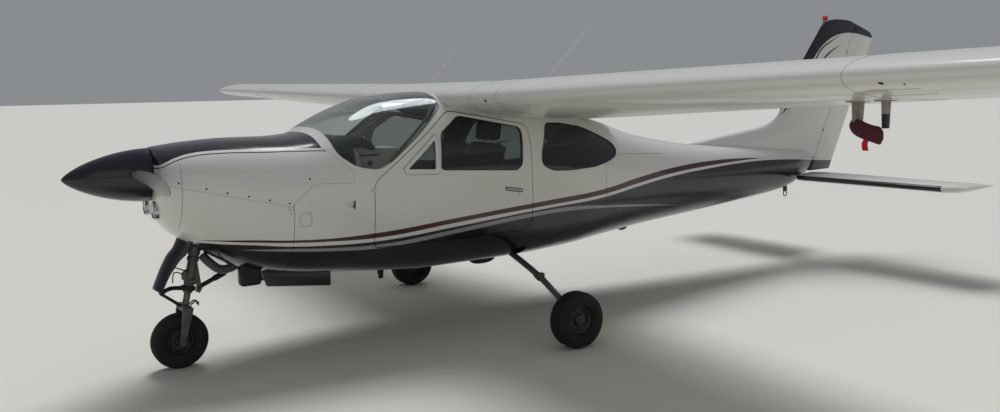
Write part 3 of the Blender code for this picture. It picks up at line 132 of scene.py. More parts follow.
def dusted(tree, shader, colour, dust, amount=0.10, gloss=(0.24, 0.36)):
    """Lay soft grime over a colour, and vary the gloss with it."""
    patches = clouds(tree, GRIME_SIZE, 2.0, 0.2, 0.8)
    share = add_node(tree, "Math", {0: patches, 1: amount}, operation="MULTIPLY")
    grimy = add_node(tree, "Mix", {0: share, 6: colour, 7: linear(dust)}, 2, data_type="RGBA")
    tree.links.new(grimy, shader.inputs["Base Color"])
    rough = add_node(tree, "MapRange", {"Value": patches, "To Min": gloss[0], "To Max": gloss[1]})
    tree.links.new(rough, shader.inputs["Roughness"])


def bumped(tree, shader, height, depth):
    """Feed a height pattern to the shader's normal at a real depth in metres."""
    bump = add_node(tree, "Bump", {"Height": height, "Distance": depth})
    tree.links.new(bump, shader.inputs["Normal"])


def sprayed(tree, shader, colour, dust=DUST, amount=0.04, gloss=(0.13, 0.24)):
    """The surface of sprayed enamel: soft grime, uneven gloss and a fine orange peel."""
    dusted(tree, shader, colour, dust, amount, gloss)
    bumped(tree, shader, clouds(tree, PEEL_SIZE, 2.0, 0.0, 1.0), PEEL_DEPTH)


print("grime clouds:", GRIME_SIZE, "m")


# %% [markdown]
# ## The paint scheme
# The aircraft wears warm off-white enamel with a near-black navy belly, a maroon line, a
# white pinstripe and a thin grey line. A painter masks such lines with tape that runs along
# the side, so each edge is a smooth curve of height over station. A Float Curve node holds
# that curve, and a pixel is above or below it. This stays sharp at any distance, which
# colours kept on the mesh's corners would not.

# %% Paint scheme edges, each as (station, height) in metres
SCHEME_START = -0.80
SCHEME_LENGTH = 8.60
SCHEME_FLOOR = 0.30
SCHEME_TALL = 2.30
TAPE_SOFTNESS = 1.5 * MILLIMETRE
MAROON_TOP = ((0.10, 0.873), (0.34, 0.866), (0.61, 0.844), (0.85, 0.833), (1.17, 0.838), (1.81, 0.885),
              (2.50, 0.932), (3.23, 0.972), (3.65, 1.024), (4.20, 1.072), (4.67, 1.087), (5.15, 1.080),
              (5.60, 1.057), (6.40, 1.010))
MAROON_LOW = ((0.10, 0.871), (0.34, 0.851), (0.61, 0.826), (0.85, 0.812), (1.17, 0.804), (1.81, 0.852),
              (2.50, 0.895), (3.23, 0.930), (3.65, 0.976), (4.20, 1.026), (4.67, 1.046), (5.15, 1.057),
              (5.60, 1.055), (6.40, 1.008))
NAVY_TOP = ((0.10, 0.850), (0.34, 0.833), (0.61, 0.801), (0.85, 0.785), (1.17, 0.779), (1.81, 0.823),
            (2.50, 0.873), (3.23, 0.905), (3.65, 0.950), (4.20, 1.000), (4.67, 1.022), (5.15, 1.036),
            (5.60, 1.034), (6.40, 0.985))
GREY_TOP = ((0.30, 0.800), (0.61, 0.785), (0.86, 0.765), (1.18, 0.754), (1.82, 0.804), (2.50, 0.858),
            (2.87, 0.863), (3.24, 0.834), (3.69, 0.790), (4.15, 0.735), (4.40, 0.700))
GREY_LOW = ((0.30, 0.800), (0.61, 0.765), (0.86, 0.743), (1.18, 0.726), (1.82, 0.774), (2.50, 0.829),
            (2.87, 0.834), (3.24, 0.813), (3.69, 0.774), (4.15, 0.731), (4.40, 0.700))
COWL_NAVY = ((-0.20, 1.330), (-0.12, 1.372), (-0.03, 1.410), (0.06, 1.430), (0.23, 1.440), (0.48, 1.434),
             (0.71, 1.430), (0.90, 1.424))
FIN_NAVY = ((5.30, 1.62), (5.85, 1.54), (5.98, 1.51), (6.10, 1.56), (6.30, 1.76), (6.552, 2.06),
            (6.746, 2.224), (6.942, 2.305), (7.145, 2.33), (7.442, 2.307), (7.75, 2.24))
FIN_SWOOSH_LOW = ((5.70, 1.46), (5.98, 1.46), (6.10, 1.515), (6.30, 1.715), (6.581, 2.036),
                  (6.681, 2.146), (6.818, 2.220), (6.956, 2.285), (7.10, 2.322))
FIN_SWOOSH_TOP = ((5.70, 1.46), (5.98, 1.46), (6.10, 1.542), (6.30, 1.742), (6.581, 2.066),
                  (6.681, 2.168), (6.818, 2.236), (6.956, 2.290), (7.10, 2.322))
FIN_DASH_LOW = ((6.40, 1.76), (6.60, 1.945), (6.741, 2.062), (6.801, 2.102), (6.922, 2.163), (7.02, 2.197))
FIN_DASH_TOP = ((6.40, 1.78), (6.60, 1.972), (6.741, 2.088), (6.801, 2.124), (6.922, 2.173), (7.02, 2.197))
TAIL_FOOT = ((5.60, 1.034), (6.30, 0.990), (6.60, 0.965), (6.90, 0.945), (7.30, 0.930))
COWL_PIN = 0.015
COWL_PIN_WIDTH = 0.006
STAB_STRIP_Y = 6.110
STAB_STRIP_SWEEP = 0.0489
STAB_STRIP_END = 1.64

OFF_WHITE = "#D8D8D2"
NAVY = "#070C1C"
MAROON = "#3E101B"
LINE_GREY = "#8F9092"


def tape_edge(tree, share, height, points, shift=0.0):
    """1 above a masked line and 0 below it."""
    curve = add_node(tree, "FloatCurve", {"Value": share})
    line = curve.node.mapping.curves[0]
    spots = [((y - SCHEME_START) / SCHEME_LENGTH, (z - SCHEME_FLOOR) / SCHEME_TALL) for y, z in points]
    line.points[0].location = spots[0]
    line.points[1].location = spots[-1]
    for spot in spots[1:-1]:
        line.points.new(*spot)
    curve.node.mapping.update()
    edge = add_node(tree, "Math", {0: curve, 1: SCHEME_TALL, 2: SCHEME_FLOOR + shift},
                    operation="MULTIPLY_ADD")
    above = add_node(tree, "Math", {0: height, 1: edge}, operation="SUBTRACT")
    return add_node(tree, "Math", {0: above, 1: TAPE_SOFTNESS}, operation="DIVIDE", use_clamp=True)


def laid_over(tree, base, colour, above, below=None):
    """Paint a colour over the base above one line, or between two."""
    share = above
    if below is not None:
        under = add_node(tree, "Math", {0: 1.0, 1: below}, operation="SUBTRACT")
        share = add_node(tree, "Math", {0: above, 1: under}, operation="MULTIPLY")
    return add_node(tree, "Mix", {0: share, 6: base, 7: colour}, 2, data_type="RGBA")


def scheme_place(tree):
    """How far along the scheme a point is, from 0 to 1, and its height."""
    where = add_node(tree, "SeparateXYZ", {"Vector": add_node(tree, "TexCoord", out="Object")}).node
    station = add_node(tree, "Math", {0: where.outputs["Y"], 1: AXLE_Y + SCHEME_START}, operation="SUBTRACT")
    return add_node(tree, "Math", {0: station, 1: SCHEME_LENGTH}, operation="DIVIDE"), where.outputs["Z"]


def fuselage_paint(name, cowl):
    """Sprayed polyurethane enamel over aluminium: glossy, with the whole line scheme."""
    made, tree, shader = finish_of(name, OFF_WHITE, 0.3, coat=0.20)
    share, height = scheme_place(tree)
    shade = laid_over(tree, linear(NAVY), linear(OFF_WHITE), tape_edge(tree, share, height, NAVY_TOP))
    for edges, colour in (((GREY_LOW, GREY_TOP), LINE_GREY), ((MAROON_LOW, MAROON_TOP), MAROON)):
        low, top = (tape_edge(tree, share, height, edge) for edge in edges)
        shade = laid_over(tree, shade, linear(colour), low, top)
    if cowl:
        pin_low = tape_edge(tree, share, height, COWL_NAVY, -COWL_PIN - COWL_PIN_WIDTH)
        pin_high = tape_edge(tree, share, height, COWL_NAVY, -COWL_PIN)
        shade = laid_over(tree, shade, linear(NAVY), pin_low, pin_high)
        shade = laid_over(tree, shade, linear(NAVY), tape_edge(tree, share, height, COWL_NAVY))
    sprayed(tree, shader, shade)
    return made


def tail_paint(name):
    """The fin's own scheme: a navy top with two sweeping lines, and the navy of the tail foot."""
    made, tree, shader = finish_of(name, OFF_WHITE, 0.3, coat=0.20)
    share, height = scheme_place(tree)
    shade = laid_over(tree, linear(NAVY), linear(OFF_WHITE), tape_edge(tree, share, height, TAIL_FOOT))
    for edges in ((FIN_SWOOSH_LOW, FIN_SWOOSH_TOP), (FIN_DASH_LOW, FIN_DASH_TOP)):
        low, top = (tape_edge(tree, share, height, edge) for edge in edges)
        shade = laid_over(tree, shade, linear(NAVY), low, top)
    shade = laid_over(tree, shade, linear(NAVY), tape_edge(tree, share, height, FIN_NAVY))
    sprayed(tree, shader, shade)
    return made


def stabilator_paint(name):
    """White enamel with a navy strip along the leading edge, short of the tips."""
    made, tree, shader = finish_of(name, OFF_WHITE, 0.3, coat=0.20)
    where = add_node(tree, "SeparateXYZ", {"Vector": add_node(tree, "TexCoord", out="Object")}).node
    out = add_node(tree, "Math", {0: where.outputs["X"]}, operation="ABSOLUTE")
    swept = add_node(tree, "Math", {0: out, 1: STAB_STRIP_SWEEP, 2: AXLE_Y + STAB_STRIP_Y},
                     operation="MULTIPLY_ADD")
    ahead = add_node(tree, "Math", {0: swept, 1: where.outputs["Y"]}, operation="SUBTRACT")
    strip = add_node(tree, "Math", {0: ahead, 1: TAPE_SOFTNESS}, operation="DIVIDE", use_clamp=True)
    inboard = add_node(tree, "Math", {0: out, 1: STAB_STRIP_END}, operation="LESS_THAN")
    strip = add_node(tree, "Math", {0: strip, 1: inboard}, operation="MULTIPLY")
    shade = add_node(tree, "Mix", {0: strip, 6: linear(OFF_WHITE), 7: linear(NAVY)}, 2, data_type="RGBA")
    sprayed(tree, shader, shade)
    return made


CABIN_PAINT = fuselage_paint("sprayed_enamel_scheme", False)
TAIL_PAINT = tail_paint("sprayed_enamel_tail")
STAB_PAINT = stabilator_paint("sprayed_enamel_stabilator")
COWL_PAINT = fuselage_paint("sprayed_enamel_cowl", True)
print("paint schemes:", CABIN_PAINT.name, COWL_PAINT.name, TAIL_PAINT.name, STAB_PAINT.name)

# %% [markdown]
# ## Plain paints
# The wings, flaps and ailerons wear the same enamel in white, and the spinner and the gear
# doors wear it in navy. One function makes both, from a colour, its dust and its gloss.

# %% Plain paints
def plain_paint(name, colour, dust=DUST, amount=0.05, gloss=(0.24, 0.36), coat=0.3):
    """Sprayed enamel of one colour."""
    made, tree, shader = finish_of(name, colour, 0.3, coat=coat)
    sprayed(tree, shader, linear(colour), dust, amount, gloss)
    return made


WHITE_PAINT = plain_paint("sprayed_enamel_white", OFF_WHITE)
NAVY_PAINT = plain_paint("sprayed_enamel_navy", NAVY, "#2A2B30", 0.06, (0.16, 0.26), 0.2)

# %% [markdown]
# ## Metals, rubber and plastics
# Gear legs are painted steel, worn at the edges. Wheels are cast alloy gone dull. Tyre
# rubber is nearly black, rough, and greyer where dust sits. Inner skins show the dark
# primer that a factory sprays before assembly.


# %% Metals, rubber and plastics
def worn(name, colour, under, roughness, metallic, size, amount, coat=0.0):
    """A finish with a second colour showing through in patches of a real size."""
    made, tree, shader = finish_of(name, colour, roughness, metallic, coat)
    patches = clouds(tree, size, 6.0, 0.52, 0.68)
    share = add_node(tree, "Math", {0: patches, 1: amount}, operation="MULTIPLY")
    shade = add_node(tree, "Mix", {0: share, 6: linear(colour), 7: linear(under)}, 2, data_type="RGBA")
    tree.links.new(shade, shader.inputs["Base Color"])
    rough = add_node(tree, "MapRange", {"Value": patches, "To Min": roughness,
                                        "To Max": min(1.0, roughness + 0.2)})
    tree.links.new(rough, shader.inputs["Roughness"])
    bumped(tree, shader, clouds(tree, size / 6, 3.0, 0.0, 1.0), 0.08 * MILLIMETRE)
    return made


GEAR_STEEL = worn("painted_gear_steel", "#4A4A48", "#6E6A62", 0.42, 0.0, 60 * MILLIMETRE, 0.6, 0.1)
BLACK_STEEL = worn("black_oxide_steel", "#17171A", "#3A3733", 0.45, 0.3, 30 * MILLIMETRE, 0.5)
CHROME = worn("polished_chrome_trim", "#B9BABD", "#8C8A86", 0.12, 1.0, 40 * MILLIMETRE, 0.5)
PISTON_STEEL = worn("dusty_chromed_piston", "#6A6866", "#3E3C39", 0.30, 0.8, 25 * MILLIMETRE, 0.7)
CAST_ALLOY = worn("dull_cast_alloy", "#3C3C3E", "#6A6864", 0.50, 0.4, 25 * MILLIMETRE, 0.7)
BARE_METAL = worn("bare_sheet_aluminium", "#9C9DA0", "#7A7A7C", 0.35, 1.0, 90 * MILLIMETRE, 0.5)
TYRE_RUBBER = worn("tyre_rubber", "#0E0E0F", "#2A2723", 0.74, 0.0, 70 * MILLIMETRE, 0.45)
PRIMER = worn("dark_inner_primer", "#2B2C2A", "#1B1B1A", 0.75, 0.0, 120 * MILLIMETRE, 0.6)
BLADE_PAINT = worn("worn_blade_grey", "#707275", "#85878A", 0.34, 0.25, 16 * MILLIMETRE, 0.35, 0.1)
BLACK_PLASTIC = worn("moulded_black_plastic", "#19191B", "#2E2D2C", 0.55, 0.0, 40 * MILLIMETRE, 0.4)
PANEL_BEIGE = worn("moulded_beige_plastic", "#B5B0A4", "#8E897D", 0.55, 0.0, 80 * MILLIMETRE, 0.35)
LINER_GREY = worn("cabin_headliner_cloth", "#5C5952", "#4A4741", 0.9, 0.0, 50 * MILLIMETRE, 0.4)
SEAL_TAUPE = worn("windshield_seal_taupe", "#6E6558", "#4E473D", 0.8, 0.0, 30 * MILLIMETRE, 0.5)
PAINTED_GREY = worn("painted_handle_grey", "#A9A8A3", "#7B7974", 0.35, 0.0, 20 * MILLIMETRE, 0.5, 0.3)
MAST_GREY = worn("weathered_mast_grey", "#8A847B", "#5F5952", 0.5, 0.0, 35 * MILLIMETRE, 0.7)
SEAM_DARK = worn("shadow_in_a_seam", "#1A1A1C", "#2A2A2B", 0.8, 0.0, 20 * MILLIMETRE, 0.5)
POUCH_CLOTH = worn("maroon_canvas", "#4C1E2C", "#5C2C38", 0.9, 0.0, 12 * MILLIMETRE, 0.8)
TAG_CLOTH = worn("red_tag_cloth", "#C8142A", "#9A1020", 0.85, 0.0, 10 * MILLIMETRE, 0.6)
BELT_WEB = worn("grey_belt_webbing", "#55575E", "#3E4046", 0.8, 0.0, 6 * MILLIMETRE, 0.6)
print("plain finishes:", len(bpy.data.materials))

# %% [markdown]
# ## Leather
# Seat leather is dyed hide with a fine grain of creased cells. Its gloss is low and uneven,
# and its colour is lighter in soft rubbed patches of about 160 mm. Grain is really under 1 mm,
# which a picture of the whole aircraft can't show, so it is drawn at 4 mm. Rows of stitching
# divide each pad into upright channels.

# %% Leather
GRAIN_SIZE = 4 * MILLIMETRE
GRAIN_DEPTH = 2.5 * MILLIMETRE
CHANNEL_GAP = 92 * MILLIMETRE
GROOVE_WIDTH = 6 * MILLIMETRE
SEAT_LEATHER, tree, shader = finish_of("navy_seat_leather", "#12172A", 0.5)
where = add_node(tree, "TexCoord", out="Object")
cells = add_node(tree, "TexVoronoi", {"Vector": where, "Scale": 1 / GRAIN_SIZE}, feature="DISTANCE_TO_EDGE")
grain = add_node(tree, "MapRange", {"Value": cells, "From Max": 0.12})
axes = add_node(tree, "SeparateXYZ", {"Vector": where})
shifted = add_node(tree, "Math", {0: axes, 1: CHANNEL_GAP / 2}, operation="PINGPONG")
groove = add_node(tree, "MapRange", {"Value": shifted, "From Max": GROOVE_WIDTH})
height = add_node(tree, "Math", {0: grain, 1: 0.15, 2: 0.0}, operation="MULTIPLY_ADD")
height = add_node(tree, "Math", {0: groove, 1: height}, operation="ADD")
bumped(tree, shader, height, GRAIN_DEPTH)
rubbed = clouds(tree, 160 * MILLIMETRE)
shade = add_node(tree, "Mix", {0: rubbed, 6: linear("#151D3A"), 7: linear("#283760")}, 2, data_type="RGBA")
# Painted shade: the stitched grooves are darkened to near black, as shade lies in a crease.
shade = add_node(tree, "Mix", {0: groove, 6: linear("#080C18"), 7: shade}, 2, data_type="RGBA")
tree.links.new(shade, shader.inputs["Base Color"])
gloss = add_node(tree, "MapRange", {"Value": rubbed, "To Min": 0.38, "To Max": 0.55})
tree.links.new(gloss, shader.inputs["Roughness"])
print("leather grain:", GRAIN_SIZE * 1000, "mm")

# %% [markdown]
# ## Clear acrylic
# Aircraft panes are cast acrylic with an IOR near 1.49 and a faint smoke tint. Solid glass
# keeps lamps out of the cabin, because the light would have to find its way through by
# chance. A Light Path node lets shadow rays straight through, tinted, so the seats are lit.


# %% Acrylic
def clear_pane(name, tint, passing):
    """Cast acrylic that refracts, and lets shadow rays through with a tint."""
    made, tree, shader = finish_of(name, tint, 0.02, IOR=1.49)
    shader.inputs["Transmission Weight"].default_value = 1.0
    shadow = add_node(tree, "LightPath", out="Is Shadow Ray")
    through = add_node(tree, "BsdfTransparent", {"Color": linear(passing)})
    both = add_node(tree, "MixShader", {0: shadow, 1: shader.outputs[0], 2: through})
    tree.links.new(both, tree.nodes["Material Output"].inputs["Surface"])
    return made


ACRYLIC = clear_pane("cast_clear_acrylic", "#D0D6D4", "#C8CECC")
TINTED_ACRYLIC = clear_pane("smoked_side_acrylic", "#8F9797", "#8F9797")
RED_GLASS = clear_pane("red_lamp_glass", "#D4121E", "#D4121E")
GREEN_GLASS = clear_pane("green_lamp_glass", "#0E9A4A", "#0E9A4A")
print("panes:", ACRYLIC.name, TINTED_ACRYLIC.name)

# %% [markdown]
# ## From a bmesh to a piece
# Every piece is modelled in station coordinates with bmesh operators. Some then need
# Solidify, Bevel or Boolean, which are modifiers. The helper below puts the mesh on a
# temporary object, evaluates its stack and hands a plain bmesh back, so nothing is left
# live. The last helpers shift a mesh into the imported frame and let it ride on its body.


# %% Piece helpers
def in_scene(name, data):
    """A new object that holds a mesh, a light or a camera, linked into the scene."""
    obj = bpy.data.objects.new(name, data)
    bpy.context.scene.collection.objects.link(obj)
    return obj


def mesh_of(name, bm):
    """A bmesh written into a new mesh, which frees the bmesh."""
    mesh = bpy.data.meshes.new(name)
    bm.to_mesh(mesh)
    bm.free()
    return mesh


def stand_in(bm):
    """A temporary object for a modifier to work on or with."""
    return in_scene("stand_in", mesh_of("stand_in", bm))


def taken_from(obj, *tools):
    """The evaluated mesh of a temporary object, which is removed with its tools."""
    view = bpy.context.evaluated_depsgraph_get()
    mesh = bpy.data.meshes.new_from_object(obj.evaluated_get(view))
    for used in (obj, *tools):
        bpy.data.objects.remove(used, do_unlink=True)
    bm = bmesh.new()
    bm.from_mesh(mesh)
    bpy.data.meshes.remove(mesh)
    return bm


def formed(bm, *steps):
    """The bmesh after a stack of modifiers. A step is a type and its settings."""
    obj = stand_in(bm)
    for kind, settings in steps:
        step = obj.modifiers.new(kind.lower(), kind)
        for name, value in settings.items():
            setattr(step, name, value)
    return taken_from(obj, *[settings["object"] for kind, settings in steps if kind == "BOOLEAN"])


def wall(thickness, inner=0, rim=0):
    return "SOLIDIFY", {"thickness": thickness, "offset": -1.0, "material_offset": inner,
                        "material_offset_rim": rim}


def less(tool):
    return "BOOLEAN", {"object": stand_in(tool), "operation": "DIFFERENCE", "solver": "EXACT"}


def only(tool):
    return "BOOLEAN", {"object": stand_in(tool), "operation": "INTERSECT", "solver": "EXACT"}


def piece(name, bm, body, *finishes, slot=None, replaces=(), sharp=32.0):
    """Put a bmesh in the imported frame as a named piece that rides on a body."""
    bmesh.ops.translate(bm, vec=(0.0, AXLE_Y, 0.0), verts=bm.verts)
    mesh = mesh_of(name, bm)
    for finish in finishes:
        mesh.materials.append(finish)
    mesh.shade_smooth()
    mesh.set_sharp_from_angle(angle=math.radians(sharp))
    obj = in_scene(name, mesh)
    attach(obj, body)
    if replaces:
        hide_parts(*replaces)
    print(f"{name}: {len(mesh.polygons)} faces on {body}")
    return obj


def both_sides(name, bm, body, *finishes, slot=None, replaces=(), sharp=32.0):
    """A left hand piece, and its mirror image with right for left in every name."""
    left = piece(name, bm, body, *finishes, slot=slot, replaces=replaces, sharp=sharp)
    bm = bmesh.new()
    bm.from_mesh(left.data)
    bmesh.ops.scale(bm, vec=(-1.0, 1.0, 1.0), verts=bm.verts)
    bmesh.ops.reverse_faces(bm, faces=bm.faces)
    bmesh.ops.translate(bm, vec=(0.0, -AXLE_Y, 0.0), verts=bm.verts)
    name, body, *nodes = (text.replace("left", "right") for text in (name, body, *replaces))
    return left, piece(name, bm, body, *finishes, slot=slot, replaces=nodes)


# %% [markdown]
# ## Shapes by warping and extruding
# A lofted skin is a flat grid whose rows become sections. Blender's create_grid makes the
# quads, and each corner is then moved to where a function says. A side view cut, such as a
# window, is one face extruded across the aircraft.

# %% Shape helpers
MERGE = 0.00002


def lofted(rows, columns=64, first=360.0, last=0.0, closed=False):
    """A skin through rows, where each row is a function from an angle in degrees to a point."""
    bm = bmesh.new()
    bmesh.ops.create_grid(bm, x_segments=columns, y_segments=len(rows) - 1, size=0.5)
    for vert in bm.verts:
        across = vert.co.x + 0.5
        row = rows[round((vert.co.y + 0.5) * (len(rows) - 1))]
        vert.co = row(first + (last - first) * across)
    bmesh.ops.remove_doubles(bm, verts=bm.verts, dist=MERGE)
    if closed:
        ends = [edge for edge in bm.edges if edge.is_boundary]
        bmesh.ops.holes_fill(bm, edges=ends)
        bmesh.ops.recalc_face_normals(bm, faces=bm.faces)
    return bm


def prism(outline, low, high, axis="X"):
    """An outline extruded along one axis. The outline is in the other two axes, in order."""
    order = {"X": lambda a, b, t: (t, a, b), "Y": lambda a, b, t: (a, t, b), "Z": lambda a, b, t: (a, b, t)}
    bm = bmesh.new()
    face = bm.faces.new([bm.verts.new(order[axis](a, b, low)) for a, b in outline])
    lifted = bmesh.ops.extrude_face_region(bm, geom=[face])
    moved = [item for item in lifted["geom"] if isinstance(item, bmesh.types.BMVert)]
    bmesh.ops.translate(bm, vec=Vector(order[axis](0.0, 0.0, high - low)), verts=moved)
    bmesh.ops.recalc_face_normals(bm, faces=bm.faces)
    return bm


def hull(points):
    """The smallest closed shape round a few points."""
    bm = bmesh.new()
    for point in points:
        bm.verts.new(point)
    bmesh.ops.convex_hull(bm, input=bm.verts)
    bmesh.ops.recalc_face_normals(bm, faces=bm.faces)
    return bm


def thickened(bm, thickness):
    """An open sheet with a wall half on each side of it, and its faces outwards."""
    bm = formed(bm, ("SOLIDIFY", {"thickness": thickness, "offset": 0.0}))
    bmesh.ops.recalc_face_normals(bm, faces=bm.faces)
    return bm


def edge_round(width, segments=3, angle=50.0):
    return "BEVEL", {"width": width, "segments": segments, "limit_method": "ANGLE",
                     "angle_limit": math.radians(angle), "profile": 0.5, "use_clamp_overlap": True}


def block(low, high, radius=0.0, segments=2):
    """A box between two corners, with its edges rounded."""
    bm = bmesh.new()
    bmesh.ops.create_cube(bm, size=1.0)
    bmesh.ops.scale(bm, vec=[b - a for a, b in zip(low, high)], verts=bm.verts)
    bmesh.ops.translate(bm, vec=[(a + b) / 2 for a, b in zip(low, high)], verts=bm.verts)
    if radius:
        bmesh.ops.bevel(bm, geom=bm.edges[:], offset=radius, segments=segments, profile=0.5,
                        affect="EDGES", material=-1, clamp_overlap=True)
    return bm


def turned_to(bm, place, normal):
    """Move a shape made round the Z axis so that Z points along a normal at a place."""
    turn = Vector(normal).to_track_quat("Z", "Y").to_matrix().to_4x4()
    bmesh.ops.transform(bm, matrix=Matrix.Translation(place) @ turn, verts=bm.verts)
    return bm


def rod(start, end, radius, steps=24, bevel=0.0):
    """A round bar from one point to another."""
    start = Vector(start)
    end = Vector(end)
    along = end - start
    bm = bmesh.new()
    bmesh.ops.create_cone(bm, cap_ends=True, segments=steps, radius1=radius, radius2=radius,
                          depth=along.length)
    if bevel:
        ends = [edge for edge in bm.edges if abs(edge.verts[0].co.z - edge.verts[1].co.z) < MERGE]
        bmesh.ops.bevel(bm, geom=ends, offset=bevel, segments=2, profile=0.5, affect="EDGES",
                        material=-1, clamp_overlap=True)
    return turned_to(bm, (start + end) / 2, along)


def spun(profile, centre, axis, steps=48, closed=False):
    """A profile of (radius, distance along the axis) spun into a full turn."""
    bm = bmesh.new()
    verts = [bm.verts.new((radius, 0.0, along)) for radius, along in profile]
    pairs = list(zip(verts, verts[1:] + (verts[:1] if closed else [])))
    edges = [bm.edges.new(pair) for pair in pairs if pair[0] is not pair[1]]
    bmesh.ops.spin(bm, geom=verts + edges, cent=(0, 0, 0), axis=(0, 0, 1), angle=2 * math.pi, steps=steps,
                   use_merge=True)
    bmesh.ops.remove_doubles(bm, verts=bm.verts, dist=MERGE)
    bmesh.ops.recalc_face_normals(bm, faces=bm.faces)
    return turned_to(bm, centre, axis)


def merged(*meshes):
    """Several bmeshes as one, which frees them."""
    whole = meshes[0]
    for other in meshes[1:]:
        mesh = mesh_of("merged", other)
        whole.from_mesh(mesh)
        bpy.data.meshes.remove(mesh)
    return whole


def painted(bm, index):
    """The same bmesh with every face in one material slot."""
    for face in bm.faces:
        face.material_index = index
    return bm


def curve_between(a, b, c, d, t):
    """A point on the smooth curve through four points, between the middle two."""
    return (b * 2 + (c - a) * t + (a * 2 - b * 5 + c * 4 - d) * t ** 2 + (b * 3 - a - c * 3 + d) * t ** 3) / 2


def rounded(outline, radius, steps=6):
    """The outline with each corner turned into a short curve."""
    points = []
    count = len(outline)
    for index, corner in enumerate(outline):
        here = Vector(corner)
        back = Vector(outline[index - 1]) - here
        ahead = Vector(outline[(index + 1) % count]) - here
        reach = min(radius, back.length * 0.45, ahead.length * 0.45)
        first = here + back.normalized() * reach
        last = here + ahead.normalized() * reach
        for step in range(steps + 1):
            t = step / steps
            points.append(tuple(first * (1 - t) ** 2 + here * 2 * t * (1 - t) + last * t ** 2))
    return points


def grown(outline, distance):
    """The outline moved outwards by a distance, or inwards when it is negative."""
    area = sum(a[0] * b[1] - b[0] * a[1] for a, b in zip(outline, outline[1:] + outline[:1]))
    side = 1.0 if area > 0 else -1.0
    moved = []
    count = len(outline)
    for index, corner in enumerate(outline):
        here = Vector(corner)
        into = (here - Vector(outline[index - 1])).normalized()
        out = (Vector(outline[(index + 1) % count]) - here).normalized()
        normal_in = Vector((into.y, -into.x)) * side
        normal_out = Vector((out.y, -out.x)) * side
        middle = (normal_in + normal_out).normalized()
        moved.append(tuple(here + middle * distance / max(0.4, middle.dot(normal_in))))
    return moved


# %% [markdown]
# ## Fuselage sections
# The body is a stack of rounded sections. Each is a superellipse: two half widths and an
# exponent, 2 for a circle and higher for a squarer shoulder. Reading it by polar angle
# spaces the points evenly, and a smooth slope through the table keeps the skin fair. These
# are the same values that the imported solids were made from.

# %% Fuselage sections
# Station, keel, crown, half width, waist height, upper power, lower power, lean
BODY = (
    (-0.12, 0.990, 1.468, 0.330, 1.270, 2.2, 2.2, 0.0),
    (-0.04, 0.900, 1.478, 0.380, 1.245, 2.2, 2.2, 0.0),
    (0.07, 0.822, 1.490, 0.425, 1.215, 2.3, 2.3, 0.0),
    (0.35, 0.640, 1.503, 0.500, 1.160, 2.5, 2.5, 0.0),
    (0.62, 0.572, 1.500, 0.545, 1.130, 2.7, 2.8, 0.0),
    (0.84, 0.545, 1.516, 0.570, 1.120, 2.7, 3.0, 0.0),
    (0.95, 0.535, 1.585, 0.580, 1.110, 2.7, 3.0, 0.0),
    (1.21, 0.510, 1.705, 0.596, 1.100, 2.7, 3.1, 0.0),
    (1.39, 0.496, 1.757, 0.604, 1.090, 2.8, 3.2, 0.0),
    (1.75, 0.474, 1.787, 0.610, 1.080, 3.0, 3.2, 0.0),
    (2.40, 0.474, 1.760, 0.610, 1.050, 3.0, 3.2, 0.0),
    (2.96, 0.490, 1.655, 0.575, 1.020, 2.8, 3.0, 0.0),
    (3.42, 0.525, 1.520, 0.500, 1.000, 2.6, 2.8, 0.0),
    (3.90, 0.558, 1.370, 0.410, 0.970, 2.5, 2.6, 0.0),
    (4.70, 0.605, 1.235, 0.300, 0.930, 2.3, 2.4, 0.0),
    (5.85, 0.688, 1.140, 0.165, 0.930, 2.2, 2.2, 0.0),
    (6.18, 0.735, 1.115, 0.125, 0.940, 2.2, 2.2, 0.25),
    (6.47, 0.830, 1.080, 0.050, 0.960, 2.0, 2.0, 0.52),
)
THRUST_Z = 1.29
COWL_END_Y = 0.62
CABIN_END_Y = 3.42
SILL_Z = 0.70


def slope(before, here, after, column):
    """A gentle slope at a row: none at a crest, else the harmonic mean of both sides."""
    if before is here or after is here:
        other = after if before is here else before
        return (other[column] - here[column]) / (other[0] - here[0])
    back = (here[column] - before[column]) / (here[0] - before[0])
    ahead = (after[column] - here[column]) / (after[0] - here[0])
    return 2 * back * ahead / (back + ahead) if back * ahead > 0 else 0.0


def body_at(station):
    """The section table read at any station."""
    if station <= BODY[0][0]:
        return BODY[0][1:]
    if station >= BODY[-1][0]:
        return BODY[-1][1:]
    index = max(i for i in range(len(BODY) - 1) if BODY[i][0] <= station)
    low = BODY[index]
    high = BODY[index + 1]
    before = BODY[max(index - 1, 0)]
    beyond = BODY[min(index + 2, len(BODY) - 1)]
    span = high[0] - low[0]
    t = (station - low[0]) / span
    values = []
    for column in range(1, len(low)):
        start = slope(before, low, high, column) * span
        end = slope(low, high, beyond, column) * span
        rise = low[column] * (2 * t ** 3 - 3 * t ** 2 + 1) + high[column] * (3 * t ** 2 - 2 * t ** 3)
        values.append(rise + start * (t ** 3 - 2 * t ** 2 + t) + end * (t ** 3 - t ** 2))
    return values


def body_row(station, inset=0.0):
    """One section as a function of angle: 0 is the left side and 90 the crown."""
    keel, crown, half, waist, upper, lower, lean = body_at(station)

    def point(angle):
        across = math.cos(math.radians(angle))
        up = math.sin(math.radians(angle))
        power = upper if up >= 0 else lower
        tall = (crown - waist if up >= 0 else waist - keel) - inset
        reach = ((abs(across) / (half - inset)) ** power + (abs(up) / tall) ** power) ** (-1 / power)
        z = waist + reach * up
        return Vector((reach * across, station + lean * (z - waist), z))
    return point


def marks(first, last, step):
    """Evenly spaced stations between two ends."""
    count = max(1, round((last - first) / step))
    return [first + (last - first) * index / count for index in range(count + 1)]


def mirror_outline(outline):
    return [(-a, b) for a, b in reversed(outline)]


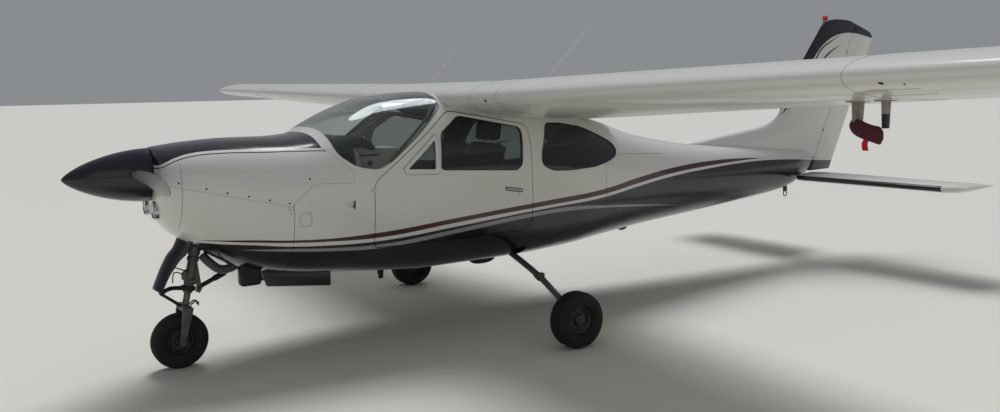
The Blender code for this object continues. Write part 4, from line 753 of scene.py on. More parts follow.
HANDS = ((1, "left"), (-1, "right"))
WIDE = 0.9
SEAM = 0.0015
FAIRED = 0.0002
CABIN_WALL = 0.034
print("crown over the front seats:", round(body_at(1.75)[1], 3), "m")

# %% [markdown]
# ## Side view outlines
# Seams, doors and windows are drawn in side view, as the factory's drawings do, and are cut
# straight across the body.

# %% Side view outlines
UPPER_COWL = [(-0.40, 2.10), (-0.40, 1.31), (-0.12, 1.243), (0.60, 1.068), (0.757, 1.203), (1.02, 1.192),
              (1.024, 1.264), (0.852, 1.425), (0.842, 1.56), (0.842, 2.10)]
WINDSHIELD = [(0.905, 2.10), (0.905, 1.54), (0.928, 1.385), (1.045, 1.295), (1.203, 1.264),
              (1.285, 1.300), (1.505, 1.468), (1.611, 1.556), (1.755, 1.674), (1.768, 1.735), (1.768, 2.10)]
DOOR = [(1.165, 0.735), (1.165, 1.178), (1.790, 1.644), (2.430, 1.525), (2.445, 1.440),
        (2.445, 0.800), (2.380, 0.735)]
DOOR_WINDOW = [(1.668, 1.232), (1.688, 1.490), (1.862, 1.610), (2.370, 1.508), (2.386, 1.462),
               (2.362, 1.225), (2.315, 1.188)]
VENT_WINDOW = [(1.402, 1.250), (1.640, 1.462), (1.634, 1.232)]
VENT_FRAME = [(1.376, 1.262), (1.654, 1.496), (1.660, 1.208), (1.400, 1.220)]
VENT_GLASS = [(1.413, 1.256), (1.636, 1.447), (1.625, 1.242)]
REAR_WINDOW = [(2.545, 1.215), (2.545, 1.300), (2.632, 1.528), (2.800, 1.522), (3.030, 1.482), (3.220, 1.408),
               (3.350, 1.348), (3.402, 1.282), (3.376, 1.228), (3.270, 1.186), (3.110, 1.158), (2.820, 1.150),
               (2.640, 1.162)]
DOOR_GAP = 0.0065
door_shape = rounded(DOOR, 0.05)
door_pane = rounded(DOOR_WINDOW, 0.035)
vent_pane = rounded(VENT_WINDOW, 0.015, 3)
rear_pane = rounded(REAR_WINDOW, 0.05)
shield_shape = rounded(WINDSHIELD, 0.05, 5)
print("door outline:", len(door_shape), "points")


# %% [markdown]
# ## Fuselage shells
# Every fuselage panel is the same skin seen through a different window. A sheet through the
# sections gets a wall with Solidify, and Booleans then keep or remove side view prisms. The
# sheet's own quads carry the curvature, so the cuts don't disturb the shading.


# %% Shell helpers
def body_shell(first, last, thickness, inset=0.0, step=0.05, columns=96):
    """The skin between two stations as an open sheet, and the step that gives it a wall."""
    rows = [body_row(station, inset) for station in marks(first, last, step)]
    return lofted(rows, columns), wall(thickness, 1, 1)


def body_solid(first, last, step, inset=0.0, columns=96):
    """The whole fuselage between two stations, closed at both ends."""
    return lofted([body_row(station, inset) for station in marks(first, last, step)], columns, closed=True)


def side_cut(outline, low=-WIDE, high=WIDE):
    return prism(outline, low, high)


# Height above the shaft, height below it, half width, station
NOSE_KEYS = ((0.085, 0.085, 0.085, -0.146), (0.150, 0.155, 0.150, -0.147), (0.172, 0.222, 0.210, -0.146),
             (0.172, 0.268, 0.255, -0.140))
NOSE_POWER = 2.1


def nose_key(index, angle):
    """The nose face: rings around the propeller shaft that grow into the first sections."""
    if index < len(NOSE_KEYS):
        top, low, wide, station = NOSE_KEYS[index]
        across = math.cos(math.radians(angle))
        up = math.sin(math.radians(angle))
        tall = top if up > 0 else low
        reach = ((abs(across) / wide) ** NOSE_POWER + (abs(up) / tall) ** NOSE_POWER) ** (-1 / NOSE_POWER)
        return Vector((reach * across, station, THRUST_Z + reach * up))
    return body_row((-0.12, -0.04, 0.07)[index - len(NOSE_KEYS)])(angle)


def nose_row(place):
    """A smooth curve through the nose keys, read at a place between them."""
    index = min(int(place), 4)
    t = place - index

    def point(angle):
        return curve_between(*(nose_key(max(0, index + k), angle) for k in (-1, 0, 1, 2)), t)
    return point


def cowl_shell(last):
    rows = [nose_row(index / 4) for index in range(20)]
    rows += [body_row(station) for station in marks(-0.04, last, 0.04)]
    return lofted(rows, 96)


WELL = [(-0.100, 0.045), (0.100, 0.045), (0.100, 1.020), (-0.100, 1.020)]
INLET = rounded([(0.105, 1.225), (0.225, 1.215), (0.262, 1.290), (0.215, 1.365), (0.105, 1.365)], 0.04)


def skin_x(station, z):
    """Half the body's width at a height."""
    keel, crown, half, waist, upper, lower, lean = body_at(station)
    reach, power = (crown - waist, upper) if z >= waist else (waist - keel, lower)
    return half * max(0.0, 1 - (abs(z - waist) / reach) ** power) ** (1 / power)


def on_skin(station, z, side=1, lift=0.0):
    """A point on the left or right skin and the way out from it."""
    step = 0.004
    x = skin_x(station, z)
    along = Vector((skin_x(station + step, z) - x, step, 0.0))
    up = Vector((skin_x(station, z + step) - x, 0.0, step))
    out = along.cross(up).normalized()
    spot = Vector((x, station, z)) + out * lift
    return Vector((side * spot.x, spot.y, spot.z)), Vector((side * out.x, out.y, out.z))


print("skin half width at the door:", round(skin_x(1.9, 1.0), 3), "m")


# %% [markdown]
# ## Cowling
# The lower bowl is one moulding with two air inlets beside the spinner, and a slot in its
# floor for the nose leg. The upper cowl lies over it and reaches back to the windshield's
# foot. Its edge steps down, back and up again, as the access doors of such cowls do.

# %% Cowling
COWL_WALL = 0.012
COWL_TOP_END_Y = 1.06
bowl = formed(cowl_shell(COWL_END_Y - SEAM), wall(COWL_WALL, 1, 1), less(side_cut(grown(UPPER_COWL, SEAM))),
              less(prism(INLET, -0.30, 0.02, "Y")), less(prism(mirror_outline(INLET), -0.30, 0.02, "Y")),
              less(prism(WELL, 0.30, 0.75, "Z")))
piece("cowl_lower_bowl", bowl, "airframe", COWL_PAINT, PRIMER, slot="cowl_paint", replaces=("cowl_lower",))
hood = formed(cowl_shell(COWL_TOP_END_Y), wall(COWL_WALL, 1, 1), only(side_cut(UPPER_COWL)))
piece("cowl_upper_hood", hood, "airframe", COWL_PAINT, PRIMER, slot="cowl_paint", replaces=("cowl_upper",))

# %% [markdown]
# ## Wing sections
# The wing's section is the classic four-digit shape: a thickness curve on both sides of a
# cambered middle line. Sections shrink, thin and twist evenly from root to tip. Points
# crowd together at the nose, where the curve is tightest.

# %% Wing sections
WING_ROOT_X = 0.62
WING_TIP_X = 5.41
WING_TIP_ROUND = 0.14
WING_LE_Y = 1.79
WING_ROOT_LE_Z = 1.735
DIHEDRAL = 0.025
ROOT_CHORD, TIP_CHORD = 1.70, 1.28
ROOT_THICK, TIP_THICK = 0.16, 0.12
ROOT_INCIDENCE, TIP_INCIDENCE = math.radians(6.2), math.radians(3.4)
CAMBER = 0.02
FLAP_HINGE = 0.74
FLAP_X = (0.70, 3.00)
AILERON_X = (3.014, 4.98)
SURFACE_GAP = 0.009
PANEL_GAP = 0.0004


def wing_at(x):
    t = max(0.0, (abs(x) - WING_ROOT_X) / (WING_TIP_X - WING_ROOT_X))
    chord = ROOT_CHORD + (TIP_CHORD - ROOT_CHORD) * t
    thick = ROOT_THICK + (TIP_THICK - ROOT_THICK) * t
    incidence = ROOT_INCIDENCE + (TIP_INCIDENCE - ROOT_INCIDENCE) * t
    return chord, thick, incidence, WING_ROOT_LE_Z + DIHEDRAL * max(0.0, abs(x) - WING_ROOT_X)


def half_thickness(f, thick):
    return 5 * thick * (0.2969 * math.sqrt(f) - 0.1260 * f - 0.3516 * f ** 2 + 0.2843 * f ** 3
                        - 0.1015 * f ** 4)


def camber_height(f):
    if f < 0.4:
        return CAMBER / 0.16 * (0.8 * f - f ** 2)
    return CAMBER / 0.36 * (0.2 + 0.8 * f - f ** 2)


def wing_point(x, f, side, squash=1.0, inset=0.0):
    """A point on the wing: span, share of the chord, and 1 above, -1 below or 0 on the middle line."""
    chord, thick, incidence, leading_z = wing_at(x)
    height = camber_height(f) * chord + side * squash * max(0.0, half_thickness(f, thick) * chord - inset)
    y = WING_LE_Y + f * chord * math.cos(incidence) + height * math.sin(incidence)
    return Vector((x, y, leading_z - f * chord * math.sin(incidence) + height * math.cos(incidence)))


def wing_ring(x, squash=1.0, steps=44):
    """A section from the top of the back edge, round the nose, to the bottom of the back edge."""
    ring = []
    for index in range(2 * steps + 1):
        f = (1 + math.cos(math.pi * index / steps)) / 2
        side = 0 if index == steps else (1 if index < steps else -1)
        ring.append(wing_point(x, f, side, squash))
    return ring


def ring_skin(rings, closed=True):
    """A closed skin through rings of points that already go round."""
    count = len(rings[0])
    rows = [lambda share, ring=ring: ring[round(share * count) % count] for ring in rings]
    return lofted(rows, count, 0.0, 1.0, closed)


print("mean chord:", (ROOT_CHORD + TIP_CHORD) / 2, "m")

# %% [markdown]
# ## Wing, flaps and ailerons
# The wing skin is cut by a cove, which is the hollow that the round nose of a flap turns in.
# Flat arms reach back from the cove into notches in each surface and end in an eye on the
# hinge line. The tip closes with an elliptical thickness, as a moulded tip cap does.

# %% Moving surfaces
HINGE_RADIUS = 0.012
HINGE_WIDTH = 0.020
HINGE_HALF_NECK = 0.007
HINGE_INSET = 0.16
HINGE_SIDE_GAP = 0.006
BEARING_GAP = 0.0008
FLAP_STEPS = (1.0, 0.97, 0.93, 0.88, 0.84, 0.80, 0.77)


def hinge_frame(x):
    chord, thick, incidence, leading_z = wing_at(x)
    return wing_point(x, FLAP_HINGE, 0), half_thickness(FLAP_HINGE, thick) * chord, incidence


def nose_arc(centre, radius, incidence, steps=14):
    """From the top of a round nose, forward and down to its bottom."""
    angles = [math.pi / 2 + math.pi * step / steps - incidence for step in range(steps + 1)]
    return [centre + Vector((0.0, radius * math.cos(a), radius * math.sin(a))) for a in angles]


def flap_ring(x):
    centre, radius, incidence = hinge_frame(x)
    top = [wing_point(x, f, 1) for f in FLAP_STEPS]
    return top + nose_arc(centre, radius, incidence) + [wing_point(x, f, -1) for f in reversed(FLAP_STEPS)]


def cove_ring(x):
    centre, radius, incidence = hinge_frame(x)
    above, below = ([centre + Vector((0.0, aft, tall)) for aft in (0.9, 0.0)] for tall in (0.3, -0.3))
    return above + nose_arc(centre, radius + SURFACE_GAP, incidence) + below[::-1]


def keyhole(centre_y, centre_z, reach, radius, half_neck):
    """A round eye on a straight neck that runs forward."""
    turn = math.asin(half_neck / radius)
    angles = [-math.pi + turn + (2 * math.pi - 2 * turn) * step / 16 for step in range(17)]
    eye = [(centre_y + radius * math.cos(a), centre_z + radius * math.sin(a)) for a in angles]
    return [(centre_y - reach, centre_z - half_neck)] + eye + [(centre_y - reach, centre_z + half_neck)]


def notch_outline(centre_y, centre_z, reach, radius):
    """The notch in a surface that clears its arm at every angle."""
    angles = [-math.pi / 2 + math.pi * step / 8 for step in range(9)]
    back = [(centre_y + radius * math.cos(a), centre_z + radius * math.sin(a)) for a in angles]
    low = [(centre_y - reach, centre_z - reach), (centre_y, centre_z - reach)]
    return low + back + [(centre_y, centre_z + reach), (centre_y - reach, centre_z + reach)]


def hinge_places(span):
    inset = HINGE_INSET * (span[1] - span[0])
    return span[0] + inset, span[1] - inset


arms = []
surfaces = {}
for surface, span in (("flap", FLAP_X), ("aileron", AILERON_X)):
    notches = []
    for x in hinge_places(span):
        centre, radius, incidence = hinge_frame(x)
        half = HINGE_WIDTH / 2
        arm = keyhole(centre.y, centre.z, radius + 0.035, HINGE_RADIUS, HINGE_HALF_NECK)
        arms.append(prism(arm, x - half, x + half))
        room = half + HINGE_SIDE_GAP
        notch = notch_outline(centre.y, centre.z, radius + 0.03, HINGE_RADIUS + BEARING_GAP)
        notches.append(prism(notch, x - room, x + room))
    blank = ring_skin([flap_ring(x) for x in marks(span[0], span[1], 0.25)])
    surfaces[surface] = formed(blank, *[less(notch) for notch in notches])
print("hinge arms per side:", len(arms))

# %% [markdown]
# ## Wing skins
# One closed skin runs from root to tip. A Boolean cuts each cove, the hinge arms are joined
# on, and the right wing is the left one's mirror image, so both sides match exactly.

# %% Wing skins
spans = marks(WING_ROOT_X + PANEL_GAP, WING_TIP_X - WING_TIP_ROUND, 0.30)
rings = [wing_ring(x) for x in spans]
for step in range(1, 9):
    t = math.sin(math.pi / 2 * step / 8)
    rings.append(wing_ring(WING_TIP_X - WING_TIP_ROUND * (1 - t), max(0.06, math.sqrt(1 - t ** 2))))
coves = []
for span in (FLAP_X, AILERON_X):
    ends = marks(span[0] - SURFACE_GAP, span[1] + SURFACE_GAP, 5.0)
    coves.append(less(ring_skin([cove_ring(x) for x in ends])))
wing = merged(formed(ring_skin(rings), *coves), *arms)
both_sides("wing_left_skin", wing, "airframe", WHITE_PAINT, slot="white_paint", replaces=("wing_left",))
for surface, bm in surfaces.items():
    node = f"{surface}_left"
    both_sides(f"{node}_skin", bm, node, WHITE_PAINT, slot="white_paint", replaces=(node,))
centre_skin = ring_skin([wing_ring(x) for x in (-WING_ROOT_X, 0.0, WING_ROOT_X)])
piece("wing_centre_skin", centre_skin, "airframe", WHITE_PAINT, slot="white_paint", replaces=("wing_centre",))

# %% [markdown]
# ## Cabin
# The wing lies on the cabin, so the cabin's walls stop at the wing's lower skin. A prism of
# the space above that skin takes the rest away. The side walls keep a 34 mm depth, which is
# what a real wall with its trim has, and show it at the door and window edges.

# %% Cabin walls
GLASS_WALL = 0.006


def under_wing(gap):
    """Everything above the centre section's lower skin, behind its nose, in side view."""
    ring = grown([(p.y, p.z) for p in wing_ring(WING_ROOT_X, steps=20)], gap)
    nose = min(range(len(ring)), key=lambda index: ring[index][0])
    lower = ring[nose - 4:]
    aft = ring[0][0] + 0.3
    return [(aft, 2.2), (lower[0][0], 2.2)] + lower + [(aft, lower[-1][1] + 0.02)]


SCOOP = ((0.926, 1.068), (1.026, 1.072), (1.024, 1.016))
SCOOP_DEPTH = 0.019


def scoop_room(side):
    """The wedge that a flush side vent takes out of the skin, deepest at its back edge."""
    spots = [(y, z, 0.01) for y, z in SCOOP] + [(y, z, -SCOOP_DEPTH) for y, z in SCOOP[1:]]
    return hull([on_skin(y, z, side, lift)[0] for y, z, lift in spots + [(*SCOOP[0], -0.001)]])


cabin, cabin_wall = body_shell(COWL_END_Y + SEAM, CABIN_END_Y - FAIRED, CABIN_WALL)
above_sill = [(0.3, SILL_Z + FAIRED), (3.8, SILL_Z + FAIRED), (3.8, 2.4), (0.3, 2.4)]
cabin = formed(cabin, cabin_wall, only(side_cut(above_sill)), less(side_cut(grown(UPPER_COWL, SEAM))),
               less(side_cut(grown(shield_shape, SEAM / 2))), less(side_cut(grown(door_shape, DOOR_GAP))),
               less(side_cut(rear_pane)), less(side_cut(under_wing(0.0006))),
               less(scoop_room(1)), less(scoop_room(-1)))
piece("cabin_sides", cabin, "airframe", CABIN_PAINT, LINER_GREY, slot="white_paint",
      replaces=("side_left", "side_right"))

keel_skin, keel_wall = body_shell(COWL_END_Y + SEAM, CABIN_END_Y - FAIRED, CABIN_WALL)
below_sill = [(0.3, 0.2), (3.8, 0.2), (3.8, SILL_Z - FAIRED), (0.3, SILL_Z - FAIRED)]
leg_openings = [less(block((low, 2.375, 0.38), (high, 2.475, 0.59), 0.02)) for low, high in
                ((0.20, 0.50), (-0.50, -0.20))]
keel_skin = formed(keel_skin, keel_wall, only(side_cut(below_sill)), less(prism(WELL, 0.30, 0.75, "Z")),
                   *leg_openings)
piece("belly_skin", keel_skin, "airframe", CABIN_PAINT, PRIMER, slot="navy_paint", replaces=("belly",))

# %% [markdown]
# ## Windshield and rear panes
# Real panes are heated sheets that take the body's curve. Here they are the same skin, 6 mm
# thick and cut by the same outlines, so each pane sits flush in its opening.

# %% Windshield and rear panes
PANE_INSET = 0.0003
shield, shield_wall = body_shell(0.86, 1.80, GLASS_WALL, 0.001, 0.03, 128)
shield = formed(shield, shield_wall, only(side_cut(grown(shield_shape, -PANE_INSET))),
                less(side_cut(under_wing(0.0008))))
piece("windshield_pane", shield, "airframe", ACRYLIC, ACRYLIC, slot="clear_acrylic", replaces=("windshield",))
for hand, low, high in (("left", 0.2, WIDE), ("right", -WIDE, -0.2)):
    pane, pane_wall = body_shell(2.45, 3.45, GLASS_WALL, 0.002)
    pane = formed(pane, pane_wall, only(side_cut(grown(rear_pane, -PANE_INSET), low, high)))
    piece(f"rear_pane_{hand}", pane, "airframe", TINTED_ACRYLIC, TINTED_ACRYLIC, slot="clear_acrylic",
          replaces=(f"rear_glass_{hand}",))

# %% [markdown]
# ## Doors
# Each door is the same skin inside the door's outline. Its window and small vent window are
# cut through it, and one thin sheet of acrylic fills both.

# %% Doors
leaf, leaf_wall = body_shell(1.10, 2.50, CABIN_WALL, 0.0, 0.04)
leaf = formed(leaf, leaf_wall, only(side_cut(door_shape, 0.3, WIDE)), less(side_cut(door_pane, 0.3, WIDE)),
              less(side_cut(vent_pane, 0.3, WIDE)))
both_sides("door_left_leaf", leaf, "door_left", CABIN_PAINT, LINER_GREY, slot="white_paint",
           replaces=("door_left",))
panes = []
for outline in (door_pane, vent_pane):
    sheet, sheet_wall = body_shell(1.30, 2.45, GLASS_WALL, 0.002, 0.04)
    panes.append(formed(sheet, sheet_wall, only(side_cut(grown(outline, -PANE_INSET), 0.3, WIDE))))
both_sides("door_left_panes", merged(*panes), "door_left", TINTED_ACRYLIC, TINTED_ACRYLIC,
           slot="clear_acrylic", replaces=("door_glass_left",))

# %% [markdown]
# ## Tail cone, fin and rudder
# The tail cone is plain sections again. The fin and rudder are ruled surfaces with a round
# nose on the rudder, and a curved cap line closes both at the top. Cutting both with one
# prism keeps that line continuous across the hinge.

# %% Tail cone and fin
STAB_PIVOT_Y = 6.27
STAB_Z = 0.82
# Height, station of the leading edge, half thickness
FIN = ((1.010, 6.30, 0.044), (1.100, 4.60, 0.060), (1.235, 4.72, 0.058), (1.300, 5.25, 0.056),
       (1.346, 5.67, 0.054), (1.372, 5.79, 0.053), (1.400, 5.88, 0.052), (1.432, 5.945, 0.051),
       (1.470, 6.00, 0.050), (1.60, 6.0925, 0.048), (2.060, 6.42, 0.040), (2.560, 6.8465, 0.034))
CAP = [(6.40, 2.165), (6.80, 2.458), (6.92, 2.474), (7.14, 2.468), (7.57, 2.350), (7.63, 2.290),
       (7.90, 2.200), (7.90, 2.900), (6.40, 2.900)]
RUDDER_FOOT = (6.50, 0.86)
RUDDER_HEAD = (7.25, 2.36)
FIN_ROWS = ((1.0, None), (0.87, 0.90), (0.75, 0.95), (0.62, 0.985), (0.5, 1.0), (0.37, 0.95), (0.25, 0.85),
            (0.15, 0.69), (0.08, 0.52), (0.035, 0.33), (0.01, 0.15))
cap_line = rounded(CAP, 0.06, 5)


def rudder_axis(z):
    t = (z - RUDDER_FOOT[1]) / (RUDDER_HEAD[1] - RUDDER_FOOT[1])
    return RUDDER_FOOT[0] + (RUDDER_HEAD[0] - RUDDER_FOOT[0]) * t, 0.034 - 0.006 * t


def fin_ring(z, leading, half):
    y_hinge, nose = rudder_axis(z)
    side = [(half * width if width else nose, leading + (y_hinge - leading) * f, z) for f, width in FIN_ROWS]
    return side + [(0.0, leading, z)] + [(-x, y, z) for x, y, z in reversed(side)]


def rudder_arc(z, widen=0.0):
    y_hinge, nose = rudder_axis(z)
    reach = nose + widen
    angles = [math.pi * step / 12 for step in range(13)]
    return [(reach * math.cos(a), y_hinge - reach * math.sin(a), z) for a in angles]


def rudder_ring(z):
    back = rudder_axis(z)[0] + 0.34 + 0.06 * (z - 0.86) / 1.44
    return rudder_arc(z) + [(-0.003, back, z), (0.003, back, z)]


def rudder_room(z):
    y_hinge = rudder_axis(z)[0]
    return [(0.3, y_hinge, z)] + rudder_arc(z, 0.014) + [(-0.3, y_hinge, z), (-0.3, 8.2, z), (0.3, 8.2, z)]


cone = body_solid(CABIN_END_Y + FAIRED, BODY[-1][0], 0.06)
hole = rod((-0.4, STAB_PIVOT_Y, STAB_Z), (0.4, STAB_PIVOT_Y, STAB_Z), 0.0308, 48)
piece("tail_cone", formed(cone, less(hole)), "airframe", CABIN_PAINT, slot="navy_paint",
      replaces=("tailcone",))

RUDDER_LEAN = math.atan((RUDDER_HEAD[0] - RUDDER_FOOT[0]) / (RUDDER_HEAD[1] - RUDDER_FOOT[1]))
hinge_lean = Matrix.Rotation(-RUDDER_LEAN, 4, "X")
fin_arms = []
notches = []
for z in (1.28, 2.12):
    y_hinge, nose = rudder_axis(z)
    place = Matrix.Translation((0.0, y_hinge, z)) @ hinge_lean
    half = HINGE_WIDTH / 2
    shape = keyhole(0.0, 0.0, nose + 0.05, HINGE_RADIUS, HINGE_HALF_NECK)
    arm = prism([(b, a) for a, b in shape], -half, half, "Z")
    room = half + HINGE_SIDE_GAP
    shape = notch_outline(0.0, 0.0, nose + 0.03, HINGE_RADIUS + BEARING_GAP)
    notch = prism([(b, a) for a, b in shape], -room, room, "Z")
    for bm in (arm, notch):
        bmesh.ops.transform(bm, matrix=place, verts=bm.verts)
    fin_arms.append(arm)
    notches.append(less(notch))
fin = ring_skin([fin_ring(*row) for row in FIN])
fin = formed(fin, less(body_solid(4.2, 6.47, 0.08, -0.0003)),
             less(ring_skin([rudder_room(z) for z in (0.6, 2.7)])), less(prism(cap_line, -0.2, 0.2)))
fin = merged(formed(fin, edge_round(0.010)), *fin_arms)
piece("fin_skin", fin, "airframe", TAIL_PAINT, slot="white_paint", replaces=("fin",))
rudder = ring_skin([rudder_ring(z) for z in marks(0.86, 2.50, 0.2)])
rudder = formed(rudder, less(prism(cap_line, -0.2, 0.2)), edge_round(0.004), *notches)
piece("rudder_skin", rudder, "rudder", TAIL_PAINT, slot="white_paint", replaces=("rudder",))

# %% [markdown]
# ## Stabilator
# The whole tailplane turns on a tube through the tail cone, so it has no elevator behind it.
# A V-shaped gap in the middle clears the rudder.

# %% Stabilator
STAB_ROOT_X = 0.165
STAB_TIP_X = 1.80
STAB_THICK = 0.09
TIP_FROM = 1.64


def stab_ring(x, side, steps=22):
    t = (x - STAB_ROOT_X) / (STAB_TIP_X - STAB_ROOT_X)
    past = max(0.0, (x - TIP_FROM) / (STAB_TIP_X - TIP_FROM))
    leading = 6.085 + 0.08 * t + 0.14 * past ** 2
    trailing = 6.80 - 0.03 * past ** 2
    squash = max(0.08, math.sqrt(1 - past ** 2))
    ring = []
    for index in range(2 * steps + 1):
        f = (1 + math.cos(math.pi * index / steps)) / 2
        up = 0 if index == steps else (1 if index < steps else -1)
        tall = STAB_THICK * half_thickness(f, 1.0) * squash
        ring.append(Vector((side * x, leading + f * (trailing - leading), STAB_Z + up * tall)))
    return ring if side > 0 else ring[::-1]


halves = []
for side in (1, -1):
    spans = marks(STAB_ROOT_X, TIP_FROM, 0.25)
    spans += [TIP_FROM + 0.16 * math.sin(math.pi / 2 * step / 7) for step in range(1, 8)]
    half = ring_skin([stab_ring(x, side) for x in spans])
    notch = [(side * 0.10, 6.40), (side * 0.170, 6.40), (side * 0.33, 6.86), (side * 0.10, 6.86)]
    halves.append(formed(half, less(prism(notch, 0.6, 1.1, "Z"))))
spar = rod((-0.3, STAB_PIVOT_Y, STAB_Z), (0.3, STAB_PIVOT_Y, STAB_Z), 0.030, 48)
piece("stabilator_skin", merged(spar, *halves), "stabilator", STAB_PAINT, slot="white_paint",
      replaces=("stabilator",))

# %% [markdown]
# ## Propeller
# The spinner is one spun shell, painted near-black. Each blade is a loft whose sections
# twist from steep at the hub to flat at the tip, because the tip moves much faster.

# %% Spinner and blades
NOSE_TIP_Y = -0.655
SPINNER_BASE_Y = -0.157
SPINNER_RADIUS = 0.171
SHAFT_RADIUS = 0.055
SHAFT_END_Y = 0.0697
BLADE_Y = -0.235
BLADE_TIP_X = 0.99
# Share of the radius, chord, thickness, pitch in degrees
BLADE = ((0.10, 0.085, 0.060, 60.0), (0.22, 0.115, 0.034, 48.0), (0.40, 0.150, 0.022, 34.0),
         (0.65, 0.150, 0.016, 25.0), (0.88, 0.125, 0.011, 19.0), (0.98, 0.080, 0.008, 17.0),
         (1.00, 0.030, 0.005, 16.0))

profile = [(0.0, -NOSE_TIP_Y)]
for step in range(1, 33):
    t = (step / 32) ** 1.4
    radius = SPINNER_RADIUS * (1 - (1 - t) ** 1.75) ** 0.72
    profile.append((radius, -(NOSE_TIP_Y + (SPINNER_BASE_Y - NOSE_TIP_Y) * t)))
profile += [(SPINNER_RADIUS - 0.004, -SPINNER_BASE_Y), (SHAFT_RADIUS, -SPINNER_BASE_Y),
            (SHAFT_RADIUS, -SHAFT_END_Y), (0.0, -SHAFT_END_Y)]
spinner = spun(profile, (0.0, 0.0, THRUST_Z), (0.0, -1.0, 0.0), 96)
piece("spinner_shell", spinner, "propeller", NAVY_PAINT, slot="navy_paint", replaces=("spinner",))


def blade_at(share):
    index = max(0, min(len(BLADE) - 2, sum(1 for row in BLADE if row[0] <= share) - 1))
    low, high = BLADE[index], BLADE[index + 1]
    t = (share - low[0]) / (high[0] - low[0])
    smooth = t * t * (3 - 2 * t) * 0.5 + t * 0.5
    return [a + (b - a) * smooth for a, b in zip(low[1:], high[1:])]


def blade_ring(share, steps=14):
    chord, thick, pitch = blade_at(share)
    angle = math.radians(pitch)
    ring = []
    for index in range(2 * steps):
        f = math.cos(math.pi * index / steps)
        tall = thick / 2 * math.sin(math.pi * index / steps) * (1.0 if index < steps else 0.6)
        run = f * chord / 2
        lift = tall * (1 - 0.35 * f)
        ring.append(Vector((share * BLADE_TIP_X, -(run * math.sin(angle) + lift * math.cos(angle)),
                            run * math.cos(angle) - lift * math.sin(angle))))
    return ring


blade_shares = [0.10 + 0.78 * step / 18 for step in range(19)]
blade_shares += [0.90, 0.92, 0.94, 0.96, 0.975, 0.985, 0.993, 1.0]
for hand, half_turn in (("left", 0.0), ("right", math.pi)):
    blade = ring_skin([blade_ring(share) for share in blade_shares])
    place = Matrix.Translation((0.0, BLADE_Y, THRUST_Z)) @ Matrix.Rotation(half_turn, 4, "Y")
    bmesh.ops.transform(blade, matrix=place, verts=blade.verts)
    piece(f"blade_{hand}_skin", blade, "propeller", BLADE_PAINT, slot="blade_paint",
          replaces=(f"blade_{hand}",))

# %% [markdown]
# ## Pipes, curves and small fixings
# Struts, hoses and rods are round bars along smooth paths. A Catmull-Rom curve passes
# through every given point, which makes a path easy to place. Screws and rivets are low
# domes with few faces, because there are hundreds of them.


# %% Pipe and fixing helpers
def eased(points, steps=6):
    """A smooth path through all the points."""
    points = [Vector(p) for p in points]
    path = []
    for index in range(len(points) - 1):
        near = [points[max(0, min(len(points) - 1, index + k))] for k in (-1, 0, 1, 2)]
        path += [curve_between(*near, step / steps) for step in range(steps)]
    return path + [points[-1]]


def pipe(points, radius, columns=14, steps=6, radius_end=None, ribs=0.0):
    """A round bar along a smooth path, which may taper or carry ribs as a hose does."""
    path = eased(points, steps)
    rows = []
    side = None
    for index, spot in enumerate(path):
        ahead = (path[min(index + 1, len(path) - 1)] - path[max(index - 1, 0)]).normalized()
        side = ahead.orthogonal().normalized() if side is None else side
        side = (side - ahead * side.dot(ahead)).normalized()
        other = ahead.cross(side)
        share = index / (len(path) - 1)
        reach = radius + ((radius_end or radius) - radius) * share + (ribs if index % 2 else 0.0)
        rows.append(lambda a, s=spot, u=side, v=other, r=reach: s + (u * math.cos(a) + v * math.sin(a)) * r)
    return lofted(rows, columns, 0.0, 2 * math.pi, True)


def screw_head(place, normal, radius=0.004, height=0.0015, steps=10):
    """A low domed head with a flat top."""
    bm = bmesh.new()
    bmesh.ops.create_cone(bm, cap_ends=True, segments=steps, radius1=radius, radius2=radius * 0.6,
                          depth=height)
    return turned_to(bm, Vector(place) + Vector(normal).normalized() * height * 0.4, normal)


def bolt_circle(centre, axis, reach, count, radius=0.005, height=0.006):
    """Hexagon heads evenly spaced round an axis."""
    turn = Vector(axis).to_track_quat("Z", "Y")
    heads = []
    for index in range(count):
        angle = 2 * math.pi * index / count
        spot = Vector(centre) + turn @ Vector((reach * math.cos(angle), reach * math.sin(angle), 0.0))
        heads.append(screw_head(spot, axis, radius, height, 6))
    return merged(*heads)


def skin_line(points, side=1, radius=0.0011, gap=0.04, closed=False):
    """A hairline seam that follows the skin, as a thin dark cord sunk half into it."""
    points = list(points) + ([points[0]] if closed else [])
    path = []
    for a, b in zip(points, points[1:]):
        count = max(1, round(math.dist(a, b) / gap))
        path += [(a[0] + (b[0] - a[0]) * k / count, a[1] + (b[1] - a[1]) * k / count) for k in range(count)]
    path.append(points[-1])
    return pipe([on_skin(y, z, side)[0] for y, z in path], radius, 6, 1)


print("points on a smooth path:", len(eased([(0.0, 0.0, 0.0), (0.0, 0.0, 1.0)])))

# %% [markdown]
# ## Wheels
# A tyre is one profile spun about the axle. The profile has a bead that sits in the rim, a
# round sidewall and a tread with straight grooves. The rim is a dished casting with bolts.

# %% Tyres and rims
GROOVE_DEPTH = 0.007
RIM_SHARE = 0.62


